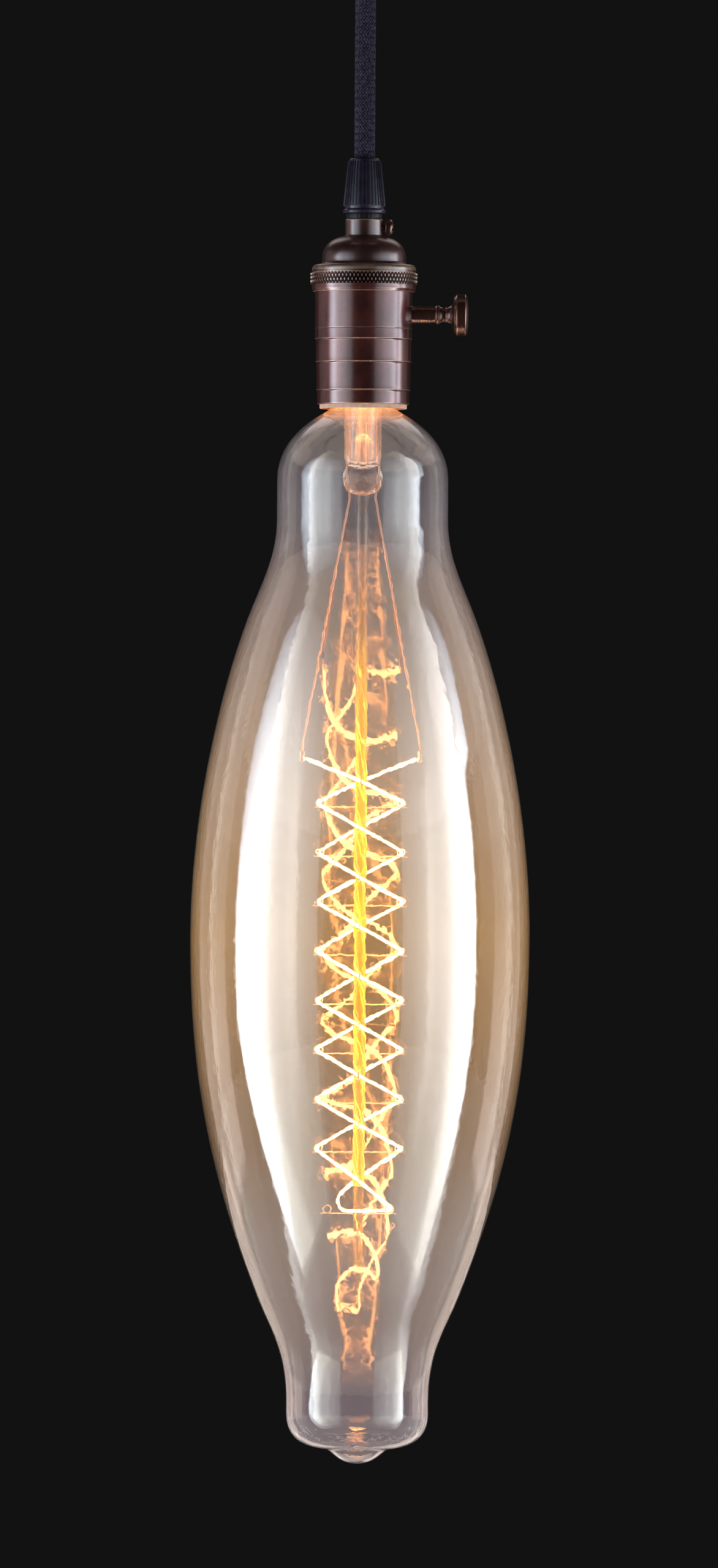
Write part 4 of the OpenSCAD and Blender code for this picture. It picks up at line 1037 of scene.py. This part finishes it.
# %% The stepped shell
KNOB_HEIGHT = -167.0
BRASS, SHELL_TOP, STEP_IN, SCRIBED = 0.6, -155.5, 0.32, -172.4
# The foot, radius and ceiling of each step.
STEPS = ((-195.8, 17.56, -185.2), (-185.2, 17.88, -176.6), (-176.6, 18.2, SHELL_TOP))


def shell_outline():
    """The shell's closed outline, from its mouth up the outside and down the inside."""
    outside = [(16.64, -200.9), (17.0, -200.9), (17.24, -200.6), (17.24, -196.05)]
    inside = []
    for foot, r, ceiling in STEPS:
        outside += [(r - 0.20, foot + 0.02), (r + 0.10, foot + 0.34), (r + 0.04, foot + 0.9)]
        if ceiling == SHELL_TOP:
            outside += [(r, SCRIBED - 0.15), (r - 0.10, SCRIBED), (r, SCRIBED + 0.15)]
        else:
            outside += [(r, foot + 2.2)]
        outside += [(r, ceiling - 0.25)]
        inside = [(r - BRASS, foot + 0.5), (r - STEP_IN - BRASS, foot - 0.1)] + inside
    rim = [(18.2, SHELL_TOP), (19.0, SHELL_TOP), (19.0, SHELL_TOP + BRASS), (17.6, SHELL_TOP + BRASS)]
    return outside + rim + inside


def drill_for_stem(thing, radius):
    """Cuts the round hole for the knob's stem in the right side of a wall."""
    drill = spun("drill", [(0, 5), (radius, 5), (radius, 30), (0, 30)], sides=48, closed=False, axis="X")
    return smooth(cut_away(thing, shift(drill, z=KNOB_HEIGHT)), 30)


stepped_shell = spun("stepped_shell", soften(shell_outline(), 0.1, band=0.2), sides=160)
fit(drill_for_stem(stepped_shell, 3.7), BRONZE, "lampholder", "aged_bronze", "socket_shell")

# %% The pasteboard liner
LINER_OUTLINE = [(15.44, -202.4), (16.34, -202.4), (16.34, SHELL_TOP), (15.44, SHELL_TOP)]
liner = drill_for_stem(spun("pasteboard_liner", LINER_OUTLINE, 0.2), 4.0)
fit(liner, PASTEBOARD, "lampholder", "cardboard", "shell_liner")

# %% [markdown]
# ## The turn knob
#
# The switch is worked by a turned stem with a bead near its end and a flared round knob, both
# in the same bronze. They are drawn like the other turned pieces, but round the X axis.

# %% The stem and the knob
STEM_OUTLINE = [(0, -8.8), (1.95, -8.8), (1.95, 6.6), (3.3, 6.6), (3.3, 24.9), (3.14, 26.4), (3.14, 26.9),
                (3.6, 27.35), (3.65, 27.9), (3.6, 28.3), (3.1, 28.6), (2.84, 29.4), (2.8, 30.9), (0, 30.9)]
KNOB_OUTLINE = outline(
    (0, 30.9), (2.8, 30.9),
    (14, (3.3, 33.5), (4.8, 33.6), (6.8, 33.9)),
    (7.8, 34.9), (7.8, 38.2), (6.7, 38.9),
    (8, (3.9, 39.3), (1.95, 39.4), (0, 39.4)),
)
for name, points, node in (("turn_stem", STEM_OUTLINE, "knob_stem"),
                           ("turn_knob", KNOB_OUTLINE, "switch_knob")):
    piece = shift(spun(name, points, 0.22, 96, closed=False, axis="X"), z=KNOB_HEIGHT)
    fit(piece, KNOB_BRONZE, "switch", "aged_bronze", node)

# %% [markdown]
# ## Threads
#
# The bulb's brass base screws into a brass cup. Both have the same rolled thread, which only
# shows when the bulb is turned out. A rolled thread is a rule: the wall swells and sinks with
# the height less the share of a turn already gone round. A tree moves the points of a plain
# turned wall by that rule, fading it out at both ends.

# %% The tree that rolls a thread
THREAD_PITCH = 3.629  # mm


def thread_tree():
    tree, given = new_tree("rolled_thread", Pitch=THREAD_PITCH * MM, Depth=0.00045, Foot=-0.2, Top=-0.18,
                           Fade=0.0015)
    spot = get(tree, "GeometryNodeInputPosition")
    x, y, z = (get(tree, "ShaderNodeSeparateXYZ", {0: spot}, axis) for axis in range(3))
    wave = (z / given["Pitch"] * (2 * math.pi) - y.apply("ARCTAN2", x)).apply("COSINE")
    from_foot, from_top = (z - given["Foot"]) / given["Fade"], (given["Top"] - z) / given["Fade"]
    swell = wave * from_foot.at_most(from_top).at_least(0).at_most(1) * given["Depth"]
    outwards = get(tree, "ShaderNodeVectorMath", {0: vector(tree, x, y)}, operation="NORMALIZE")
    push = get(tree, "ShaderNodeVectorMath", {0: outwards, "Scale": swell}, operation="SCALE")
    moved = get(tree, "GeometryNodeSetPosition", {"Geometry": given["Geometry"], "Offset": push})
    return end_tree(tree, given, moved)


THREAD = thread_tree()
print("tree:", THREAD.name, "with", len(THREAD.nodes), "nodes")

# %% The base and the cup
def wall(radius, foot, top, rows):
    """Evenly spaced points up a straight wall, close enough for a thread to form."""
    return [(radius, foot + (top - foot) * i / rows) for i in range(rows + 1)]


def threaded_piece(name, points, body, node, **thread):
    piece = smooth(grow(name, turned(name, points), THREAD, PLAIN_BRASS, **thread), 50)
    return fit(piece, PLAIN_BRASS, body, "plain_brass", node)


BASE_OUTLINE = outline(
    (12.65, -202.3), (13.0, -202.3), *wall(13.0, -201.9, -183.4, 60),
    (5, (13.0, -182.4), (12.4, -181.9), (11.4, -181.9)),
    (10.65, -181.9), (10.65, -182.25), (11.3, -182.25), (12.4, -183.0),
    *wall(12.65, -202.3, -183.4, 60)[::-1],
)
CUP_OUTLINE = [
    *wall(13.75, -200.3, -176.0, 70), (13.5, -175.0), (12.9, -174.7), (6.0, -174.7), (6.0, -175.1),
    (12.6, -175.1), (13.2, -175.5), (13.4, -176.1), *wall(13.4, -200.3, -176.3, 70)[::-1],
]
threaded_piece("screw_base", BASE_OUTLINE, "bulb", "base_shell",
               Foot=-0.2015, Top=-0.1836, Depth=0.00042)
threaded_piece("screw_cup", CUP_OUTLINE, "lampholder", "screw_shell",
               Foot=-0.2006, Top=-0.1765, Depth=0.00030)

# %% [markdown]
# ## The glass inside the bulb
#
# A clear tube carries the wires up from the base. It ends in a flattened press that is fused
# round the wires, with a sealed exhaust tube inside and a solid rod below that holds the
# cage. Clear glass needs thick, smooth, closed shapes to bend the light of the filament.

# %% The stem and its exhaust tube
STEM_GLASS = outline(
    (0, -234.9),
    (14, (4.6, -234.9), (7.5, -232.6), (7.5, -228.6)),
    (10, (7.5, -225.8), (6.3, -225.4), (6.3, -223.6)),
    (6, (6.3, -222.4), (7.0, -221.9), (7.0, -220.3)),
    (7.0, -198.3),
    (8, (7.0, -192.3), (8.6, -189.6), (10.6, -189.3)),
    (11.6, -189.3), (11.6, -188.3),
    (8, (8.0, -188.7), (6.0, -192.3), (6.0, -198.3)),
    (6.0, -219.6),
    (12, (5.6, -223.6), (3.0, -224.9), (0, -224.9)),
)
PRESS_TOP, PRESS_FOOT = -222.1, -234.9
# Heights where the painted glow on the stem starts and where it is full.
PAINTED_GLOW_FROM, PAINTED_GLOW_AT = -0.2250, -0.2205  # metres
TUBE_OUTLINE = [(1.55, -225.3), (2.35, -225.3), (2.35, -188.5), (1.55, -186.8), (0, -186.1), (0, -187.3),
                (0.9, -187.9), (1.55, -189.1)]


def pinch_press(mesh):
    """Flattens the press, front to back, the way the hot glass is nipped round the wires."""
    for point in mesh.vertices:
        depth = (point.co.z / MM - PRESS_TOP) / (PRESS_FOOT - PRESS_TOP)
        if depth > 0:
            nip = math.sin(min(1.0, depth * 1.25) * math.pi / 2) ** 2
            point.co.y *= 1 - 0.34 * nip
            point.co.x *= 1 + 0.03 * nip


def stem_finish():
    """Clear glass with a painted glow: warm emission streaks up its wall above the press, and a faint one
    in the press, stand in for the filament's light.
    """
    finish, tree = new_finish("stem_glass_painted_glow", **CLEAR, Base_Color=(0.98, 0.965, 0.95),
                              Emission_Strength=0.28)
    streaks = grain(tree, (1, 1, 0.14), 520, 2, 0.6).stretch(0.46, 0.64)
    above = height_on(tree).stretch(PAINTED_GLOW_FROM, PAINTED_GLOW_AT)
    # Painted glow: warm streaks that stand in for the filament's light.
    painted_streaks = streaks.blend((0.15, 0.06, 0.045), (1, 0.46, 0.20))
    return dress(finish, Emission_Color=above.blend((0.07, 0.03, 0.02), painted_streaks))


PAINTED_GLOW_GLASS = stem_finish()
stem_glass = spun("stem_glass", STEM_GLASS, sides=96, closed=False)
pinch_press(stem_glass.data)
fit(stem_glass, PAINTED_GLOW_GLASS, "bulb", "clear_glass", "glass_stem")
fit(spun("exhaust_glass", TUBE_OUTLINE, 0.2, 48), PAINTED_GLOW_GLASS, "bulb", "clear_glass", "exhaust_tube")

# %% The rod that holds the cage
# The rod's painted glow starts at the first height and is full at the second.
ROD_RADIUS, ROD_PAINTED_GLOW_FROM, ROD_PAINTED_GLOW_AT = 2.2, -0.285, -0.345  # mm, metres, metres
ROD_OUTLINE = outline(
    (0, -494.2),
    (6, (1.5, -494.2), (ROD_RADIUS, -493.7), (ROD_RADIUS, -493.0)),
    *[(ROD_RADIUS, -480 + 16 * i) for i in range(15)],
    (ROD_RADIUS, -236.4), (2.5, -234.7), (0, -234.65),
)


def rod_finish():
    """Clear glass with a painted glow lower down, inside the cage: an amber tint and amber emission stand
    in for the filament's light.
    """
    finish, tree = new_finish("rod_painted_glow", **CLEAR, Emission_Strength=0.5)
    painted_glow_share = height_on(tree).stretch(ROD_PAINTED_GLOW_FROM, ROD_PAINTED_GLOW_AT)
    streaks = grain(tree, (1, 1, 0.06), 700, 2).stretch(0.38, 0.6)
    # Painted glow: amber emission in streaks, standing in for the filament's light.
    hot = streaks.blend((1, 0.28, 0.04), (0.85, 0.74, 0.02))
    return dress(finish, Base_Color=painted_glow_share.blend((0.98, 0.93, 0.88), (1, 0.72, 0.10)),
                 Emission_Color=painted_glow_share.blend((0.02, 0.01, 0), hot))


cage_rod = spun("cage_rod", ROD_OUTLINE, sides=48, closed=False)
fit(cage_rod, rod_finish(), "bulb", "clear_glass", "glass_rod")

# %% [markdown]
# ## Wires inside the bulb
#
# Two copper-coated leads run from the press out to the ends of the filament, where small
# tubes are crimped over the joints. Fine hooks are sealed into the rod, and each wraps once
# round the filament. Leads and hooks are paths for the same wire tree.

# %% Leads, clamps and the wires in the base
COPPER_WIRE = metal_finish("copper_wire", (0.86, 0.50, 0.34), (0.92, 0.62, 0.46), 300, 0.32)
SUPPORT_METAL = metal_finish("support_metal", (0.62, 0.52, 0.44), (0.78, 0.66, 0.55), 300, 0.3)
LEAD_X, CLAMP_X = 4.8, 22.126  # mm

for side, label in SIDES:
    path = [(side * LEAD_X, 0, -225.0), (side * LEAD_X, 0, -235.8), (side * CLAMP_X, 0, -329.4),
            (side * CLAMP_X, 0, -333.3)]
    lead = wire("lead_" + label, COPPER_WIRE, 0.45, path)
    fit(lead, COPPER_WIRE, "bulb", "copper_wire", "lead_wire_" + label)

CRIMP_OUTLINE = [(0.5, -334.9), (0.95, -334.9), (0.95, -330.9), (0.5, -330.9)]
crimps = [shift(spun("crimp", CRIMP_OUTLINE, 0.12, 24), x=side * CLAMP_X) for side, label in SIDES]
fit(weld("crimped_tubes", *crimps), SUPPORT_METAL, "bulb", "copper_wire", "filament_clamps")

TO_CONTACT = [(5.0, 0, -224.6), (5.0, 0, -184.7), (0, 0, -183.5), (0, 0, -178.5)]
TO_WALL = [(-5.0, 0, -224.6), (-5.0, 0, -184.7), (-12.05, 0, -184.7)]
base_wires = wire("base_wires", COPPER_WIRE, 0.3, TO_CONTACT, TO_WALL)
fit(base_wires, COPPER_WIRE, "bulb", "copper_wire", "base_leads")

# %% The hooks
HOOK_RADIUS, HOOK_TAIL, WRAP_STEPS = 0.25, 2.2, 16


def hook(k, run):
    """One hook from the rod: an arm, one wrap round the filament, and a tail."""
    r = hook_radius(k)
    points = [(ROD_RADIUS - 0.4, -HOOK_RADIUS, -EYE), (r - 0.3, -HOOK_RADIUS, -EYE)]
    for i in range(1, WRAP_STEPS):
        a = 2 * math.pi * i / WRAP_STEPS
        points.append((r + EYE * math.sin(a), HOOK_RADIUS * (2 * i / WRAP_STEPS - 1), -EYE * math.cos(a)))
    points += [(r + 0.3, HOOK_RADIUS, -EYE), (r + HOOK_TAIL, HOOK_RADIUS, -EYE)]
    return [turn_to_hook(k, run, x, y, z + hook_height(k)) for x, y, z in points]


hooks = [hook(k, run) for k in range(1, HOOKS + 1) for run in (0, 180)]
rod_hooks = wire("rod_hooks", SUPPORT_METAL, HOOK_RADIUS, *hooks, sides=8)
fit(rod_hooks, SUPPORT_METAL, "bulb", "support_metal", "support_wires")

# %% [markdown]
# ## The rest of the base
#
# The tip of the base shows when the bulb is turned out of its holder: a black glass button
# with a solder dot in its middle that touches the holder's spring.

# %% The button and the solder dot
BLACK_GLASS = speckled_finish("black_glass", (0.010, 0.010, 0.013), (0.022, 0.020, 0.026), 200,
                              Roughness=0.12)
SOLDER = metal_finish("solder", (0.62, 0.61, 0.60), (0.74, 0.73, 0.72), 500, 0.34)
BUTTON_OUTLINE = [(1.2, -182.9), (10.6, -182.9), (10.6, -181.9), (11.0, -181.9), (10.6, -181.1),
                  (5.3, -178.3), (1.2, -178.3)]
DOT_OUTLINE = outline((0, -178.28), (4.7, -178.28), (4.7, -177.9),
                      (10, (4.7, -177.4), (2.8, -176.9), (0, -176.9)))
fit(spun("glass_button", BUTTON_OUTLINE, 0.25, 96), BLACK_GLASS, "bulb", "black_glass", "base_insulator")
fit(spun("solder_dot", DOT_OUTLINE, sides=64, closed=False), SOLDER, "base_tip", "solder", "base_contact")

# %% [markdown]
# ## The ceiling cap
#
# The cord ends just above the picture. It leads to a small spun cap in the same bronze that
# hangs from a steel crossbar by two screws, one on either side.

# %% The cap and its screws
CAP_SCREW_HEIGHT = -6.0
CEILING_OUTLINE = outline(
    (55.9, 0), (53.8, 0), (53.8, -9.12),
    (16, (53.8, -16.68), (44.5, -22.8), (30.25, -22.8)),
    (5.2, -22.8), (5.2, -24), (30.25, -24),
    (20, (45.1, -24), (55, -17.28), (55, -9.12)),
    (55, -2.2), (55.9, -1.4),
)
fit(spun("ceiling_cap", CEILING_OUTLINE, 0.3, 192), BRONZE, "ceiling_fitting", "aged_bronze", "canopy")
cap_screws = [turn(round_screw("cap_screw", (2.0, 47.2), (3.8, 55.2, 2.2), CAP_SCREW_HEIGHT), facing)
              for facing in (0, 180)]
fit(weld("cap_screws", *cap_screws), KNOB_BRONZE, "ceiling_fitting", "plain_brass", "canopy_screws")

# %% [markdown]
# ## Finishes for the measured pieces that stay
#
# Nuts, springs and mouldings deep inside the holder keep the shapes of the measured model.
# They only need their own finishes, which are set on the material slots they already have.

# %% Finishes on the measured pieces
ZINC = metal_finish("zinc_steel", (0.55, 0.56, 0.58), (0.68, 0.69, 0.71), 260, 0.35)
CREAM = speckled_finish("cream_moulding", (0.70, 0.65, 0.54), (0.80, 0.75, 0.65), 90, Roughness=0.4)
RED = speckled_finish("red_moulding", (0.40, 0.05, 0.03), (0.50, 0.08, 0.05), 120, Roughness=0.4)
INSULATION = speckled_finish("wire_insulation", (0.16, 0.11, 0.08), (0.24, 0.17, 0.12), 300, Roughness=0.55)
CEMENT = speckled_finish("cement", (0.36, 0.34, 0.30), (0.50, 0.48, 0.43), 700, 0.00004, Roughness=0.9)
KEPT = {
    "crossbar": ZINC, "ceiling_locknut": ZINC, "cap_locknut": ZINC, "socket_core": CREAM,
    "centre_contact": PLAIN_BRASS, "switch_blade": PLAIN_BRASS, "terminal_screws": PLAIN_BRASS,
    "supply_leads": INSULATION, "switch_rotor": RED, "base_cement": CEMENT,
}
for name, finish in KEPT.items():
    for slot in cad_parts[name].material_slots:
        slot.material = finish
print("kept:", ", ".join(KEPT))
